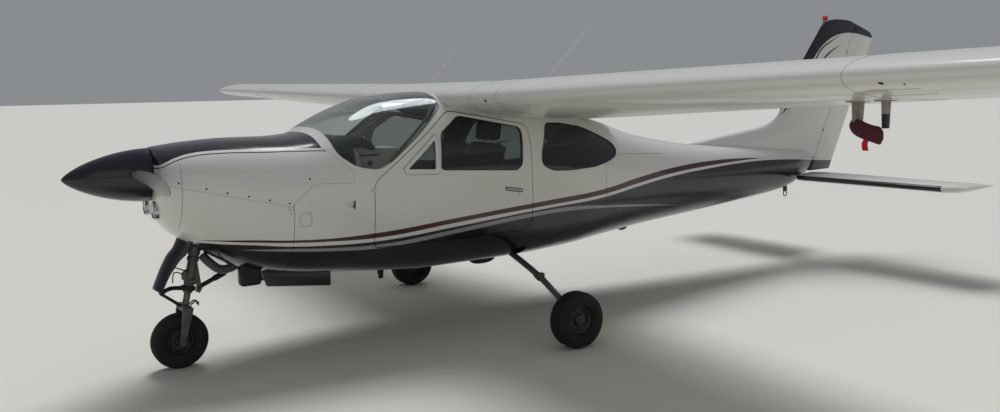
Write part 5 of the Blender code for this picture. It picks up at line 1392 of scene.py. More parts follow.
def tyre(centre, radius, width, bead):
    """A ribbed aircraft tyre."""
    half = width / 2
    tall = radius - bead
    cheek = [(bead + share * tall, wide, 0.0) for share, wide in
             ((0.0, 0.60), (0.06, 0.76), (0.28, 0.95), (0.52, 1.0), (0.74, 0.96), (0.88, 0.84))]
    side = [(p.x, p.y * half) for p in eased(cheek + [(radius - 0.0045, 0.64, 0.0)], 4)]
    tread = []
    for low, high in ((0.42, 0.50), (0.14, 0.22)):
        floor = radius - GROOVE_DEPTH
        tread += [(radius - 0.0035 * high, high), (floor, high - 0.015), (floor, low + 0.015), (radius, low)]
    side += [(r, h * half) for r, h in tread]
    return spun(side + [(r, -h) for r, h in reversed(side)], centre, (1.0, 0.0, 0.0), 96, closed=True)


def rim(centre, bead, width, bore, cap):
    """A dished cast rim: flange, well, hub and, on a main wheel, a hub cap."""
    half = width / 2 * RIM_SHARE
    outer = [(bore, half - 0.010)]
    outer += [(bead * share, half - dip) for share, dip in
              ((0.34, 0.008), (0.40, 0.014), (0.46, 0.024), (0.74, 0.026), (0.82, 0.014), (0.88, 0.004),
               (0.93, 0.0))]
    outer += [(bead - 0.0012, half - 0.001)]
    inner = [(r, -h) for r, h in reversed(outer)]
    whole = spun(outer + inner, centre, (1.0, 0.0, 0.0), 72, closed=True)
    for way in (1, -1):
        spot = Vector(centre) + Vector((way * (half - 0.024), 0.0, 0.0))
        whole = merged(whole, bolt_circle(spot, (way, 0, 0), bead * 0.60, 8))
    if cap:
        dome = [(0.0, half + 0.003), (bead * 0.30, half + 0.001), (bead * 0.44, half - 0.006),
                (bead * 0.46, half - 0.018), (0.0, half - 0.019)]
        whole = merged(whole, spun(dome, centre, (1.0, 0.0, 0.0), 36))
    return whole


NOSE_TYRE_RADIUS, NOSE_TYRE_WIDTH, NOSE_RIM_RADIUS = 0.1805, 0.126, 0.081
MAIN_TYRE_RADIUS, MAIN_TYRE_WIDTH, MAIN_RIM_RADIUS = 0.193, 0.155, 0.091
TRACK_HALF = 1.232
MAIN_AXLE_Y = 2.357
nose_centre = (0.0, 0.0, NOSE_TYRE_RADIUS)
main_centre = (TRACK_HALF, MAIN_AXLE_Y, MAIN_TYRE_RADIUS)
piece("nose_wheel_tyre", tyre(nose_centre, NOSE_TYRE_RADIUS, NOSE_TYRE_WIDTH, NOSE_RIM_RADIUS), "nose_wheel",
      TYRE_RUBBER, slot="tyre_rubber", replaces=("nose_tyre",))
piece("nose_wheel_rim", rim(nose_centre, NOSE_RIM_RADIUS, NOSE_TYRE_WIDTH, 0.0128, False), "nose_wheel",
      CAST_ALLOY, slot="bare_aluminium", replaces=("nose_rim",))
both_sides("main_wheel_tyre_left", tyre(main_centre, MAIN_TYRE_RADIUS, MAIN_TYRE_WIDTH, MAIN_RIM_RADIUS),
           "main_wheel_left", TYRE_RUBBER, slot="tyre_rubber", replaces=("main_left_tyre",))
both_sides("main_wheel_rim_left", rim(main_centre, MAIN_RIM_RADIUS, MAIN_TYRE_WIDTH, 0.0198, True),
           "main_wheel_left", CAST_ALLOY, slot="bare_aluminium", replaces=("main_left_rim",))

# %% [markdown]
# ## Main legs
# The main legs of such an aircraft are tapered steel tubes that swing up into the belly. A
# clamp holds the brake hose half way down. The foot is a forged block with the axle, and a
# brake caliper rides behind it.

# %% Main legs and axles
KNUCKLE_X = TRACK_HALF - MAIN_TYRE_WIDTH / 2 - 0.055
LEG = [(0.13, 2.435, 0.560), (0.36, 2.420, 0.508), (0.75, 2.385, 0.408), (KNUCKLE_X - 0.0075, 2.357, 0.271)]
leg_path = eased(LEG, 8)
upper_leg = pipe(leg_path[:17], 0.0225, 20, 2, 0.0205)
lower_leg = pipe(leg_path[15:], 0.0190, 20, 2, 0.0165)
clamp_at = leg_path[16]
clamp_way = (leg_path[17] - leg_path[15]).normalized()
clamp = rod(clamp_at - clamp_way * 0.028, clamp_at + clamp_way * 0.028, 0.0275, 24, bevel=0.004)
lug = block((clamp_at.x - 0.022, clamp_at.y + 0.018, clamp_at.z - 0.020),
            (clamp_at.x + 0.022, clamp_at.y + 0.044, clamp_at.z + 0.022), 0.004)
hose_points = [p + Vector((0.0, 0.027, 0.006)) for p in leg_path[2::3]]
hose_points += [Vector((KNUCKLE_X + 0.01, MAIN_AXLE_Y + 0.062, 0.272))]
hose = pipe(hose_points, 0.0042, 8, 4)
leg = merged(upper_leg, lower_leg, clamp, lug)
both_sides("main_leg_tube_left", leg, "airframe", GEAR_STEEL, slot="grey_steel", replaces=("main_leg_left",))
both_sides("brake_hose_left", hose, "airframe", BLACK_PLASTIC, slot="dark_plastic")


def from_axle(x, aft=0.0, up=0.0):
    """A point at a distance out from the centre plane, aft of the main axle and above it."""
    return x, MAIN_AXLE_Y + aft, MAIN_TYRE_RADIUS + up


knuckle = block(from_axle(KNUCKLE_X, -0.035, -0.030), from_axle(KNUCKLE_X + 0.040, 0.035, 0.105), 0.010, 3)
pin = rod(from_axle(KNUCKLE_X + 0.01), from_axle(TRACK_HALF + 0.028), 0.019, 32)
nut = rod(from_axle(KNUCKLE_X - 0.012), from_axle(KNUCKLE_X + 0.002), 0.020, 6)
bolts = bolt_circle(from_axle(KNUCKLE_X - 0.001, 0.0, 0.075), (-1, 0, 0), 0.020, 4)
caliper = block(from_axle(KNUCKLE_X + 0.004, 0.034, -0.018), from_axle(KNUCKLE_X + 0.050, 0.078, 0.060),
                0.008, 3)
foot = merged(knuckle, pin, nut, bolts, caliper)
both_sides("main_axle_left", foot, "airframe", GEAR_STEEL, slot="grey_steel", replaces=("axle_left",))

# %% [markdown]
# ## Nose leg
# The nose leg is an air and oil strut: a wide cylinder above a polished piston. Two hinged
# links in front keep the wheel straight, a brace behind holds the leg down, and a fork
# carries the axle. Only the fork, piston and links steer, so they ride on their own body.

# %% Nose leg
STRUT_LEAN = math.radians(11.3)
STRUT_FOOT = 0.315
STRUT_HEAD = 0.830
STRUT_RADIUS = 0.0325


def strut_point(up, x=0.0, ahead=0.0):
    """A point up the leaning strut from the axle, and ahead of its line."""
    return Vector((x, up * math.sin(STRUT_LEAN) - ahead * math.cos(STRUT_LEAN),
                   NOSE_TYRE_RADIUS + up * math.cos(STRUT_LEAN) + ahead * math.sin(STRUT_LEAN)))


def strut_prism(points, low, high):
    """A side view in the strut's own frame, as (ahead, up), given a width across."""
    return prism([tuple(strut_point(up, 0.0, ahead).yz) for ahead, up in points], low, high)


strut_axis = (strut_point(1.0) - strut_point(0.0)).normalized()
profile = [(0.0, 0.0), (0.024, 0.0), (0.0300, 0.002), (0.0320, 0.008), (0.0320, 0.062), (0.0360, 0.066),
           (0.0360, 0.082), (0.0320, 0.086), (0.0320, 0.205), (0.0385, 0.215), (0.0385, 0.235),
           (0.0325, 0.245), (0.0400, 0.260), (0.0400, 0.420), (0.0370, STRUT_HEAD - STRUT_FOOT),
           (0.0, STRUT_HEAD - STRUT_FOOT)]
cylinder = spun(profile, strut_point(STRUT_FOOT), strut_axis, 40)
ears = [rod(strut_point(0.395, side * 0.030, -0.008), strut_point(0.395, side * 0.046, -0.008),
            0.016, 20, 0.002) for side in (-1, 1)]
web = strut_prism(((-0.026, 0.372), (-0.052, 0.372), (-0.052, 0.325), (-0.078, 0.318), (-0.088, 0.345),
                   (-0.070, 0.400), (-0.030, 0.520)), -0.013, 0.013)
bracket = strut_prism(((0.028, 0.395), (0.050, 0.400), (0.054, 0.440), (0.028, 0.470)), -0.020, 0.020)
strut = merged(cylinder, *ears, web, bracket)
piece("nose_strut_cylinder", strut, "airframe", GEAR_STEEL, slot="grey_steel", replaces=("nose_strut",))
loop = pipe([strut_point(up, 0.012, ahead) for ahead, up in
             ((0.050, 0.430), (0.085, 0.445), (0.108, 0.440), (0.112, 0.415), (0.106, 0.372))], 0.0040, 8)
piece("nose_strut_wire_loop", loop, "airframe", BLACK_STEEL, slot="dark_plastic")

FORK_HALF = NOSE_TYRE_WIDTH / 2 + 0.012
FORK_WALL = 0.018
crown = strut_prism(rounded([(-0.032, 0.194), (0.032, 0.194), (0.028, 0.238), (-0.028, 0.238)], 0.012),
                    -FORK_HALF - 0.012, FORK_HALF + 0.012)
leg_side = rounded([(-0.034, 0.232), (0.036, 0.232), (0.034, 0.175), (0.020, 0.030), (0.015, -0.018),
                    (-0.015, -0.018), (-0.020, 0.030), (-0.032, 0.175)], 0.010)
fork_parts = [formed(crown, edge_round(0.006))]
for inner in (FORK_HALF, -FORK_HALF - FORK_WALL):
    fork_parts.append(formed(strut_prism(leg_side, inner, inner + FORK_WALL), edge_round(0.005)))
axle_ends = [strut_point(0.0, side * (FORK_HALF + 0.022)) for side in (-1, 1)]
fork_parts.append(rod(*axle_ends, 0.012, 28, 0.002))
for side in (-1, 1):
    nut_ends = [strut_point(0.0, side * (FORK_HALF + out)) for out in (0.017, 0.027)]
    fork_parts.append(rod(*nut_ends, 0.019, 6))
for side in (-1, 1):
    hook = [(-0.028, 0.235), (-0.052, 0.262), (-0.074, 0.258), (-0.078, 0.238)]
    fork_parts.append(pipe([strut_point(up, side * 0.020, ahead) for ahead, up in hook], 0.005, 8))
fork = merged(*fork_parts)
piece("nose_fork_casting", fork, "nose_fork", GEAR_STEEL, slot="grey_steel", replaces=("nose_fork",))
piston = rod(strut_point(0.230), strut_point(STRUT_FOOT - 0.0004), 0.022, 40)
piece("nose_strut_piston", piston, "nose_fork", PISTON_STEEL, slot="bare_aluminium")


def link(points, half_wide, half_thick, spread):
    """One scissor link: two bars that run together at the knee."""
    bars = []
    for side in (-1, 1):
        path = [strut_point(up, side * (half_wide * (1 - t) + spread * t), ahead)
                for t, (ahead, up) in zip((0.0, 0.5, 1.0), points)]
        bars.append(pipe(path, half_thick, 10, 5, half_thick * 0.85))
    return bars


collar_bore = STRUT_RADIUS + 0.0012
collar = spun([(collar_bore, 0.014), (0.0440, 0.014), (0.0455, 0.010), (0.0455, -0.010), (0.0440, -0.014),
               (collar_bore, -0.014)], strut_point(STRUT_FOOT + 0.032), strut_axis, 40, True)
upper_bars = link(((0.040, 0.342), (0.110, 0.336), (0.160, 0.306)), 0.020, 0.0115, 0.013)
lower_bars = link(((0.034, 0.228), (0.090, 0.258), (0.158, 0.292)), 0.017, 0.0105, 0.010)
knee = rod(strut_point(0.300, -0.026, 0.162), strut_point(0.300, 0.026, 0.162), 0.0150, 20, 0.003)
pin = rod(strut_point(0.346, -0.030, 0.044), strut_point(0.346, 0.030, 0.044), 0.009, 16, 0.001)
scissor = merged(collar, knee, pin, *upper_bars, *lower_bars)
piece("nose_scissor_links", scissor, "nose_fork", BLACK_STEEL, slot="grey_steel", replaces=("torque_link",))

brace = pipe([(0.0, 0.128, 0.512), (0.0, 0.332, 0.600), (0.0, 0.500, 0.672), (0.0, 0.636, 0.735)],
             0.0155, 18, 8, 0.014)
sleeve = rod((0.0, 0.235, 0.558), (0.0, 0.310, 0.591), 0.0200, 24, 0.003)
piece("nose_drag_brace", merged(brace, sleeve), "airframe", BLACK_STEEL, slot="grey_steel",
      replaces=("drag_brace",))

# %% [markdown]
# ## Nose door, cooling outlet and duct
# The nose leg's front door is a curved sheet that hangs ahead of the leg, held by a thin
# rod. A ribbed hose brings cooling air down behind it.

# %% Nose door and duct
NOSE_DOOR_HALF = 0.088
door_line = eased([(0.0, 0.020, body_at(0.020)[0] + 0.018), (0.0, -0.012, 0.800), (0.0, -0.052, 0.752),
                   (0.0, -0.084, 0.695), (0.0, -0.108, 0.645), (0.0, -0.150, 0.542)], 5)


def door_row(spot, index):
    """One section across the curved door, which gets flatter towards its foot."""
    depth = 0.105 - 0.055 * index / (len(door_line) - 1)

    def point(share):
        across = math.sin(math.pi * (share - 0.5))
        dip = depth * (1 - math.sqrt(max(0.0, 1 - across ** 2 * 0.96)))
        return Vector((across * NOSE_DOOR_HALF, spot.y + dip * 0.85, spot.z - dip * 0.45))
    return point


sheet = lofted([door_row(spot, index) for index, spot in enumerate(door_line)], 28, 0.0, 1.0)
nose_door = formed(sheet, wall(0.006), edge_round(0.0015, 2))
nose_door = formed(nose_door, less(body_solid(-0.12, 0.6, 0.04, -0.0008)))
piece("nose_door_sheet", nose_door, "airframe", NAVY_PAINT, slot="navy_paint", replaces=("nose_door",))
door_rod = pipe([(0.030, -0.062, 0.690), (0.030, 0.02, 0.655), (0.024, strut_point(0.45).y - 0.02, 0.630)],
                0.004, 8)
piece("nose_door_rod", door_rod, "airframe", BLACK_STEEL, slot="dark_plastic")
duct = pipe([(0.060, 0.150, 0.740), (0.066, 0.195, 0.684), (0.072, 0.255, 0.634), (0.082, 0.320, 0.632),
             (0.100, 0.390, 0.664)], 0.027, 20, 10, ribs=0.004)
piece("cooling_duct_hose", duct, "airframe", GEAR_STEEL, slot="dark_plastic")

# %% [markdown]
# ## Nose well doors
# Two flat doors hang along the nose wheel's well, one each side. Each is a thin sheet with a
# folded flange along the skin, and its front edge is cut away for the leg.

# %% Nose well doors
WELL_DOOR = rounded([(0.500, 0.660), (0.556, 0.480), (1.018, 0.423), (1.022, 0.660)], 0.010)
sheet = formed(prism(WELL_DOOR, 0.112, 0.120), less(body_solid(0.30, 1.24, 0.06, -0.0006)), edge_round(0.002))
flange_rows = []
for y in marks(0.560, 1.010, 0.05):
    foot = body_at(y)[0] + 0.004
    flange_rows.append(lambda s, y=y, z=foot: Vector((0.104 + 0.018 * s, y, z - 0.010 + 0.004 * s)))
flange = thickened(lofted(flange_rows, 3, 0.0, 1.0), 0.0025)
both_sides("nose_well_door_left", merged(sheet, flange), "airframe", NAVY_PAINT, slot="navy_paint",
           replaces=("well_door_left",))

# %% [markdown]
# ## Plates and trims on the skin
# Frames, seals, handles and hinge straps follow the skin's curve. Each is a thin shell of the same
# sections, a little proud of the skin, kept only inside its own side view outline.


# %% Skin plates
def skin_plate(outline, proud, depth, hole=None, edge=0.0012):
    """A thin plate that follows the skin inside an outline, with an optional opening."""
    first = min(y for y, z in outline) - 0.05
    last = max(y for y, z in outline) + 0.05
    bm, plate_wall = body_shell(first, last, proud + depth, -proud, 0.03)
    steps = [only(prism(outline, 0.05, WIDE))] + ([less(prism(hole, 0.05, WIDE))] if hole else [])
    return painted(formed(bm, plate_wall, *steps, edge_round(edge, 2, 60.0)), 0)


vent_shape = rounded(VENT_FRAME, 0.026)
vent_opening = rounded(VENT_GLASS, 0.016)
vent_frame = skin_plate(vent_shape, 0.0045, 0.004, vent_opening)
both_sides("vent_window_frame_left", vent_frame, "door_left", WHITE_PAINT, slot="white_paint")
# Painted shadow: a dark rim 3 mm wider than the vent frame lies just under it and draws the frame's shadow
# line on the door.
frame_shadow_line = skin_plate(grown(vent_shape, 0.003), 0.0006, 0.002, vent_opening, 0.0003)
both_sides("vent_window_gasket_left", frame_shadow_line, "door_left", SEAM_DARK, slot="dark_plastic")
for window, body, outline in (("door", "door_left", door_pane), ("rear", "airframe", rear_pane)):
    seal = skin_plate(grown(outline, 0.0005), 0.0010, 0.008, grown(outline, -0.007), 0.0005)
    both_sides(f"{window}_window_seal_left", seal, body, BLACK_PLASTIC, slot="dark_plastic")

# %% [markdown]
# ## Door hardware
# The handle lies flush in a shallow pan and is pulled out to open. A round key lock sits
# below it. Two barrel hinges at the front edge carry the door.

# %% Door hardware
HANDLE = [(2.206, 1.070), (2.350, 1.046), (2.354, 1.030), (2.300, 1.034), (2.208, 1.052)]
# Painted shade: the pan is a dark plate flush with the skin and a little wider than the bar. Its dark colour
# stands for the shade in the handle's recess.
pan = skin_plate(rounded(grown(HANDLE, 0.006), 0.008), 0.0006, 0.002)
bar = skin_plate(rounded(HANDLE, 0.006), 0.0070, 0.003, edge=0.0025)
lock_at, lock_out = on_skin(2.326, 1.008)
lock = screw_head(lock_at, lock_out, 0.0085, 0.005, 24)
both_sides("door_handle_pan_left", pan, "door_left", BLACK_STEEL, slot="dark_plastic")
both_sides("door_handle_left", merged(bar, lock), "door_left", PAINTED_GREY, slot="bare_aluminium")
for tag, z in (("low", 0.90), ("high", 1.145)):
    blade = [(1.178, z), (1.178, z + 0.016), (1.245, z + 0.012 - 0.006), (1.245, z - 0.006)]
    both_sides(f"door_hinge_strap_{tag}_left", skin_plate(blade, 0.0012, 0.002), "door_left", WHITE_PAINT,
               slot="white_paint")
HINGE_X, HINGE_Y = 0.606, 1.158
HALVES = (("foot", "airframe", -0.0122, -0.0006), ("cap", "door_left", 0.0006, 0.0122))
for tag, z in (("low", 0.86), ("high", 1.13)):
    for half_name, body, start, end in HALVES:
        barrel = rod((HINGE_X, HINGE_Y, z + start), (HINGE_X, HINGE_Y, z + end), 0.0085, 20, 0.001)
        both_sides(f"door_hinge_{half_name}_{tag}_left", barrel, body, WHITE_PAINT, slot="white_paint")

# %% [markdown]
# ## Seams, panels and fasteners of the body
# Hairline seams are thin cords sunk into the skin, dark as a real gap looks from a few
# metres. Quarter-turn fasteners hold the cowl along its seam.

# %% Body seams and fasteners
ACCESS = rounded([(0.655, 0.931), (0.655, 1.017), (0.730, 1.019), (0.730, 0.933)], 0.018, 4)
LATCH = [(0.588, 1.044), (0.588, 1.066), (0.612, 1.066), (0.612, 1.044)]
SEAM_LINES = (
    ([(-0.030, 1.398), (-0.030, 1.250), (-0.030, 1.100), (-0.030, 0.960)], False),
    ([(3.232, 0.840), (3.235, 1.154), (3.411, 1.240), (4.044, 1.200), (4.092, 1.113)], False),
    ([(3.232, 0.840), (3.320, 0.798), (3.560, 0.640)], False),
    (ACCESS, True), (LATCH, True),
)
FASTENERS = ((-0.093, 1.258), (-0.048, 1.254), (0.102, 1.212), (0.220, 1.180), (0.344, 1.150), (0.468, 1.118),
             (0.590, 1.088), (0.728, 1.238))
SCREWS = ((3.342, 0.730), (4.805, 0.965), (5.652, 0.868), (6.178, 0.934), (0.600, 1.020), (1.140, 1.135))
for side, hand in HANDS:
    lines = merged(*[skin_line(points, side, closed=closed) for points, closed in SEAM_LINES])
    piece(f"body_seams_{hand}", lines, "airframe", SEAM_DARK, slot="dark_plastic")
    heads = [screw_head(*on_skin(y, z, side), 0.0065, 0.0022, 14) for y, z in FASTENERS]
    heads += [screw_head(*on_skin(y, z, side), 0.0040, 0.0018, 10) for y, z in SCREWS]
    piece(f"body_fasteners_{hand}", merged(*heads), "airframe", BLACK_STEEL, slot="bare_aluminium")
    # Painted shade: a dark plate across the back face of the vent's recess stands for the shade in the duct
    # behind it.
    mouth = hull([on_skin(y - back, z, side, lift)[0] for y, z in ((1.0245, 1.070), (1.0225, 1.018))
                  for back in (0.0, 0.003) for lift in (-0.003, -SCOOP_DEPTH)])
    piece(f"side_vent_mouth_{hand}", mouth, "airframe", SEAM_DARK, slot="dark_plastic")

# %% [markdown]
# ## Wing rivets, seams and tip lamps
# Rows of small rivets follow the spars and ribs. The fuel bay and the outer panel end in
# fine seams round the leading edge.

# %% Wing rivets and seams
RIVET_ROWS = (0.06, 0.30, 0.56, 0.70)
RIVET_GAP = 0.085
RIB_GAP = 0.46


def wing_normal(x, f, side):
    """The way out of the wing's skin at a span and a share of the chord."""
    ahead = wing_point(x, f + 0.005, side) - wing_point(x, f, side)
    out = wing_point(x + 0.01, f, side) - wing_point(x, f, side)
    return out.cross(ahead).normalized() * side


spots = [(x, f, side) for f in RIVET_ROWS for x in marks(0.68, 5.22, RIVET_GAP) for side in (1, -1)]
spots += [(x, f, side) for x in marks(0.90, 5.20, RIB_GAP) for f in marks(0.08, 0.70, 0.05)
          for side in (1, -1)]
rivets = merged(*[screw_head(wing_point(x, f, side), wing_normal(x, f, side), 0.0032, 0.0010, 6)
                  for x, f, side in spots])
both_sides("wing_rivets_left", rivets, "airframe", WHITE_PAINT, slot="white_paint")


def wing_seam(x, aft=0.55):
    """A hairline round the leading edge at one span."""
    count = 22
    path = [wing_point(x, aft * (1 - math.sin(math.pi / 2 * k / count)), 1) for k in range(count)]
    path += [wing_point(x, aft * (1 - math.cos(math.pi / 2 * k / count)), -1) for k in range(count + 1)]
    return pipe(path, 0.0008, 6, 1)


hatch = [wing_point(x, f, -1) for x, f in
         ((3.74, 0.07), (3.98, 0.07), (3.98, 0.16), (3.74, 0.16), (3.74, 0.07))]
lines = merged(*[wing_seam(x) for x in (0.80, 1.13, 3.70)], pipe(hatch, 0.0007, 6, 1))
both_sides("wing_seams_left", lines, "airframe", SEAM_DARK, slot="dark_plastic")
# Painted shade: each vent or drain hole is a low dark dome on the lower skin, and its dark colour stands for
# the shade inside the hole.
holes = merged(*[screw_head(wing_point(x, f, -1), wing_normal(x, f, -1), radius, 0.002, 20)
                 for x, f, radius in ((1.00, 0.006, 0.013), (3.86, 0.020, 0.011), (3.95, 0.030, 0.005))])
both_sides("wing_vent_holes_left", holes, "airframe", SEAM_DARK, slot="dark_plastic")
for side, hand, glass in ((1, "left", RED_GLASS), (-1, "right", GREEN_GLASS)):
    place = wing_point(5.372, 0.10, 0)
    dome = spun([(0.0, 0.030), (0.010, 0.027), (0.017, 0.016), (0.019, 0.0), (0.016, -0.020), (0.0, -0.028)],
                (side * place.x, place.y, place.z), (0.0, -1.0, 0.0), 24)
    piece(f"tip_lamp_{hand}", dome, "airframe", glass, slot="clear_acrylic")

# %% [markdown]
# ## Masts, probe cover and aerials
# Two streamlined masts hang under the left wing. A red-brown cloth pouch covers the air
# probe between them, with a bright tag so that nobody forgets it. Two whip aerials stand
# on the wing roots, and two low aerial blisters sit under the belly.

# %% Masts and aerials
def wing_skin_z(x, y, side):
    """Height of a wing skin over a point, by halving the range."""
    low, high = 0.02, 0.98
    for step in range(30):
        middle = (low + high) / 2
        low, high = (middle, high) if wing_point(x, middle, side).y < y else (low, middle)
    return wing_point(x, low, side).z


def mast_row(x, top, share, drop, width):
    """A streamlined section of a hanging mast."""
    chord = width - 0.020 * share
    middle = 2.262 - 0.004 * share
    z = top + 0.006 - (drop + 0.006) * share

    def point(angle):
        a = math.radians(angle)
        across = 0.0105 * math.sin(a) * (1 - 0.35 * math.cos(a))
        return Vector((x + across, middle + chord / 2 * math.cos(a), z))
    return point


# Piece, node, place across, drop, width, finish of its lower half
MASTS = (
    ("probe_mast", "pitot_mast", 3.46, 0.105, 0.096, MAST_GREY),
    ("vent_mast_blade", "vent_mast", 3.60, 0.125, 0.070, BLACK_STEEL),
)
for name, node, x, drop, width, lower in MASTS:
    top = wing_skin_z(x, 2.25, -1)
    rows = [mast_row(x, top, k / 6, drop, width) for k in range(7)]
    mast = lofted(rows, 28, closed=True)
    foot = block((x - 0.024, 2.200, top - 0.004), (x + 0.024, 2.324, top + 0.006), 0.003)
    whole = merged(painted(mast, 0), painted(foot, 0))
    for face in whole.faces:
        face.material_index = 1 if face.calc_center_median().z < top - drop * 0.55 else 0
    piece(name, whole, "airframe", MAST_GREY, lower, slot="white_paint", replaces=(node,))

# Piece, station, length, width, depth
BLISTERS = (
    ("belly_blister_front", 2.365, 0.290, 0.090, 0.086),
    ("belly_blister_rear", 3.860, 0.130, 0.050, 0.055),
)
for name, y, long, wide, deep in BLISTERS:
    bm = bmesh.new()
    bmesh.ops.create_uvsphere(bm, u_segments=36, v_segments=18, radius=0.5)
    for vert in bm.verts:
        vert.co.y = math.copysign(abs(2 * vert.co.y) ** 0.7, vert.co.y) / 2
    bmesh.ops.scale(bm, vec=(wide, long, deep * 2.2), verts=bm.verts)
    bmesh.ops.translate(bm, vec=(0.0, y, body_at(y)[0] + deep * 0.1), verts=bm.verts)
    piece(name, bm, "airframe", BLACK_PLASTIC, slot="dark_plastic")

POUCH_TOP = wing_skin_z(3.46, 2.25, -1) - 0.098
# Place across, drop, half height, half width
POUCH = (
    (3.435, 0.010, 0.010, 0.018), (3.442, 0.012, 0.030, 0.034), (3.470, 0.020, 0.040, 0.040),
    (3.510, 0.036, 0.037, 0.036), (3.550, 0.048, 0.036, 0.032), (3.578, 0.054, 0.040, 0.026),
    (3.586, 0.056, 0.034, 0.016),
)


def pouch_ring(x, drop, tall, wide):
    """One ring of the pouch, a little three-sided as folded cloth is."""
    z = POUCH_TOP - drop

    def point(a):
        return Vector((x, 2.250 + wide * math.cos(a), z + tall * math.sin(a) * (1 + 0.18 * math.cos(3 * a))))
    return point


def tag_row(step):
    """One line across the tag, which waves a little on its way down."""
    sway = 0.006 * math.sin(step * 1.1)
    lean = 0.004 * math.sin(step * 1.7)
    height = POUCH_TOP - 0.052 - 0.012 * step
    return lambda s: Vector((3.515 + 0.030 * (s - 0.5) + sway, 2.235 + lean, height))


pouch = lofted([pouch_ring(*row) for row in POUCH], 24, 0.0, 2 * math.pi, True)
pouch = formed(pouch, ("SUBSURF", {"levels": 2, "render_levels": 2}))
piece("probe_cover_pouch", pouch, "airframe", POUCH_CLOTH, slot="trim_plastic")
tag_rows = [tag_row(step) for step in range(7)]
tag = formed(lofted(tag_rows, 4, 0.0, 1.0), wall(0.0012))
piece("probe_cover_tag", tag, "airframe", TAG_CLOTH, slot="trim_plastic")

foot_z = wing_skin_z(0.87, 2.40, 1)
base = spun([(0.0, -0.012), (0.022, -0.012), (0.022, 0.004), (0.018, 0.012), (0.011, 0.026), (0.008, 0.034),
             (0.0, 0.034)], (0.87, 2.40, foot_z), (0.0, 0.0, 1.0), 28)
whip_foot, whip_tip = Vector((0.87, 2.40, foot_z + 0.02)), Vector((0.89, 2.79, 2.24))
whip = pipe([whip_foot.lerp(whip_tip, k / 3) for k in range(4)], 0.0062, 10, 4, 0.0030)
both_sides("whip_aerial_left", merged(base, whip), "airframe", WHITE_PAINT, slot="dark_plastic",
           replaces=("aerial_left",))

# %% [markdown]
# ## Lamps, beacon and tail ring
# Two round lamps look forward from the nose bowl. The red beacon stands on the fin, and a
# steel ring under the tail takes a rope when the aircraft is parked.

# %% Lamps and beacon
for side, hand in HANDS:
    centre = (side * 0.130, -0.147, 1.072)
    ring = spun([(0.050, -0.020), (0.0575, -0.020), (0.0590, 0.004), (0.0565, 0.010), (0.0520, 0.009),
                 (0.050, 0.002)], centre, (0.0, -1.0, 0.0), 48, True)
    bowl = spun([(0.0, -0.016), (0.020, -0.014), (0.040, -0.006), (0.0505, 0.002), (0.0505, -0.020),
                 (0.0, -0.020)], centre, (0.0, -1.0, 0.0), 48)
    lens = spun([(0.0, 0.009), (0.025, 0.0085), (0.045, 0.006), (0.0508, 0.003), (0.0500, 0.000),
                 (0.0, 0.0045)], centre, (0.0, -1.0, 0.0), 48)
    piece(f"landing_lamp_ring_{hand}", merged(ring, bowl), "airframe", CHROME, slot="bare_aluminium")
    piece(f"landing_lamp_lens_{hand}", lens, "airframe", ACRYLIC, slot="clear_acrylic")

stalk = pipe([(0.0, 6.749, 2.405), (0.0, 6.752, 2.440), (0.0, 6.768, 2.462)], 0.010, 14, 4, 0.013)
piece("beacon_stalk", stalk, "airframe", MAST_GREY, slot="bare_aluminium")
dome = spun([(0.0, -0.020), (0.024, -0.020), (0.028, -0.012), (0.029, 0.004), (0.024, 0.020), (0.012, 0.030),
             (0.0, 0.032)], (0.0, 6.776, 2.480), (0.0, 0.0, 1.0), 32)
piece("beacon_dome", dome, "airframe", RED_GLASS, slot="clear_acrylic")
bar = [(0.026 + 0.005 * math.cos(a), 0.005 * math.sin(a)) for a in [math.pi / 4 * k for k in range(8)]]
ring = spun(bar, (0.0, 6.112, 0.645), (1.0, 0.0, 0.0), 32, True)
stem = block((-0.006, 6.085, 0.668), (0.006, 6.140, 0.745), 0.003)
piece("tail_tie_ring", merged(ring, stem), "airframe", BLACK_STEEL, slot="grey_steel")

# %% [markdown]
# ## Cabin floor, walls and panel
# Looking in through the big panes, you see a dark hood over the instruments, a pale side
# box, grey walls and a rear bulkhead. The lining pieces close the views that a real
# cabin closes.

# %% Cabin lining and panel
LINING_INSET = CABIN_WALL + 0.004


def cabin_room():
    """The space inside the cabin's walls, which the lining pieces are trimmed to."""
    return body_solid(COWL_END_Y + 0.04, 3.34, 0.08, LINING_INSET, 64)


back_wall = lofted([body_row(station, LINING_INSET) for station in (3.398, 3.414)], 64, closed=True)
back_wall = formed(back_wall, less(side_cut(under_wing(0.004))))
piece("cabin_back_wall", back_wall, "airframe", LINER_GREY, slot="trim_plastic")
roof_line = [point for point in under_wing(0.008)[6:-1] if 1.84 < point[0] < 3.34]
roof = prism(roof_line + [(y, z - 0.012) for y, z in reversed(roof_line)], -WIDE, WIDE)
piece("cabin_headliner", formed(roof, only(cabin_room())), "airframe", LINER_GREY, slot="trim_plastic")

